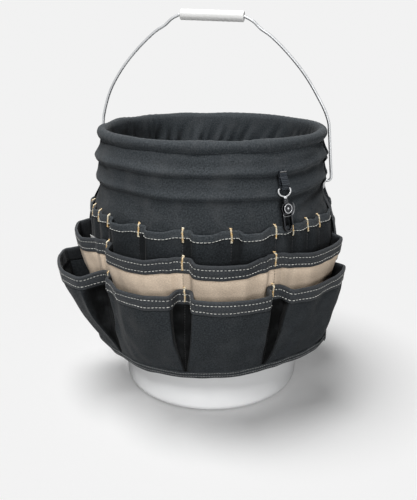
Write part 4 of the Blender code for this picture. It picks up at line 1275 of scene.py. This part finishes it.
def studio():
    """A pale floor that turns up into a dome, and soft suns that each light only part of the scene.

    Close to the part the floor is lit paper and takes its shadow; further out it glows instead, so
    that the backdrop is even. The glow lights only the collection that comes back first, for the
    shiny pieces that mirror it. The one that comes back second is lit by the light off the floor.
    """
    scene = bpy.context.scene
    view = scene.view_settings
    view.view_transform = "Standard"
    view.use_curve_mapping = True
    for point in TONES:
        view.curve_mapping.curves[3].points.new(*point)
    view.curve_mapping.update()
    n = Nodes("studio paper")
    place = n.coordinates("Object")
    far = n.add("ShaderNodeVectorMath", {"operation": "LENGTH"})
    n.put(far.inputs[0], place)
    share = n.between(far.outputs["Value"], 0.0, 1.0, 0.9, 2.2)
    tone = n.ramp(n.noise(place, 1.5), (PAPER,) * 3, (PAPER * 1.01,) * 3)
    paper = n.finish(Base_Color=n.mix(share, tone, (0.0, 0.0, 0.0)),
                     Roughness=n.between(n.noise(place, 40.0), 0.85, 0.95),
                     Emission_Color=(1.0, 1.0, 1.0, 1.0),
                     Emission_Strength=n.between(share, FLOOR_GLOW, BACKDROP))
    n.shader.inputs["Specular IOR Level"].default_value = 0.0
    floor_r, bend_r = 4.0, 2.0
    profile = [(r, 0.0) for r in (0.02, 0.6, 1.2, 2.0, 3.0, floor_r)]
    profile += arc(floor_r, bend_r, bend_r, -84, 0, 14)
    profile += [(x, bend_r + (DOME_R - bend_r) * y / DOME_R)
                for x, y in arc(0, 0, DOME_R, 10, 80, 7)]
    profile += [(0.02, DOME_R)]
    angles = np.radians(np.arange(0, 360, 3.0))
    grid = np.array([[(r * math.cos(a), r * math.sin(a), z) for a in angles] for r, z in profile])
    dome = grid_object("studio_dome", grid[:, ::-1], paper, wrap=True)
    middle = turned("studio_floor", [(0.02, 0.0), (0.0, 0.0)], paper, 120)
    lit = bpy.data.collections.new("lit by the backdrop")
    lit.objects.link(middle)
    for obj in (dome, middle):
        obj.visible_shadow = False
        obj.light_linking.receiver_collection = lit

    world = bpy.data.worlds.new("studio")
    world.use_nodes = True
    sky = world.node_tree.nodes["Background"].inputs
    sky["Color"].default_value = (1.0, 1.0, 1.0, 1.0)
    sky["Strength"].default_value = 0.0
    scene.world = world
    unlit = bpy.data.collections.new("not lit by the part's own lamps")
    unlit.objects.link(dome)
    unlit.collection_objects[0].light_linking.link_state = "EXCLUDE"
    pail_only = bpy.data.collections.new("pail")
    ground = bpy.data.collections.new("ground")
    for obj in (dome, middle):
        ground.objects.link(obj)
    receivers = {"part": unlit, "pail": pail_only, "floor": ground}
    for name, azimuth, elevation, spread, strength, lights in LAMPS:
        light = bpy.data.lights.new(name, "SUN")
        light.angle = math.radians(spread)
        light.energy = strength * math.pi
        lamp = add_object(name, light)
        lamp.rotation_euler = (math.radians(90 - elevation), 0.0, math.radians(azimuth))
        lamp.light_linking.receiver_collection = receivers[lights]
    return lit, pail_only


def camera():
    """Where the picture was taken from: metres from the axis and above the floor, and degrees."""
    away, height, azimuth, down = 0.8347, 0.4758, 12.0, 18.98
    aside = 0.0056  # radians that it looks to the left of the axis
    data = bpy.data.cameras.new("camera")
    data.lens = 43.34
    obj = add_object("camera", data)
    obj.location = ring(azimuth, away, height)
    obj.rotation_euler = (math.radians(90 - down), 0.0, math.radians(azimuth) + aside)
    bpy.context.scene.camera = obj


def main():
    paint = make_materials()
    camera()
    lit, pail_only = studio()
    make_pail(paint)
    make_bail(paint)
    make_cover(paint)
    make_clip(paint)
    shiny = [paint[name] for name in ("wire", "black metal", "wear_and_edge_highlight", "bright")]
    for obj in bpy.context.scene.objects:
        if obj.type in ("MESH", "CURVE") and obj.active_material in shiny:
            lit.objects.link(obj)
        if obj.active_material == paint["pail"]:
            pail_only.objects.link(obj)


main()
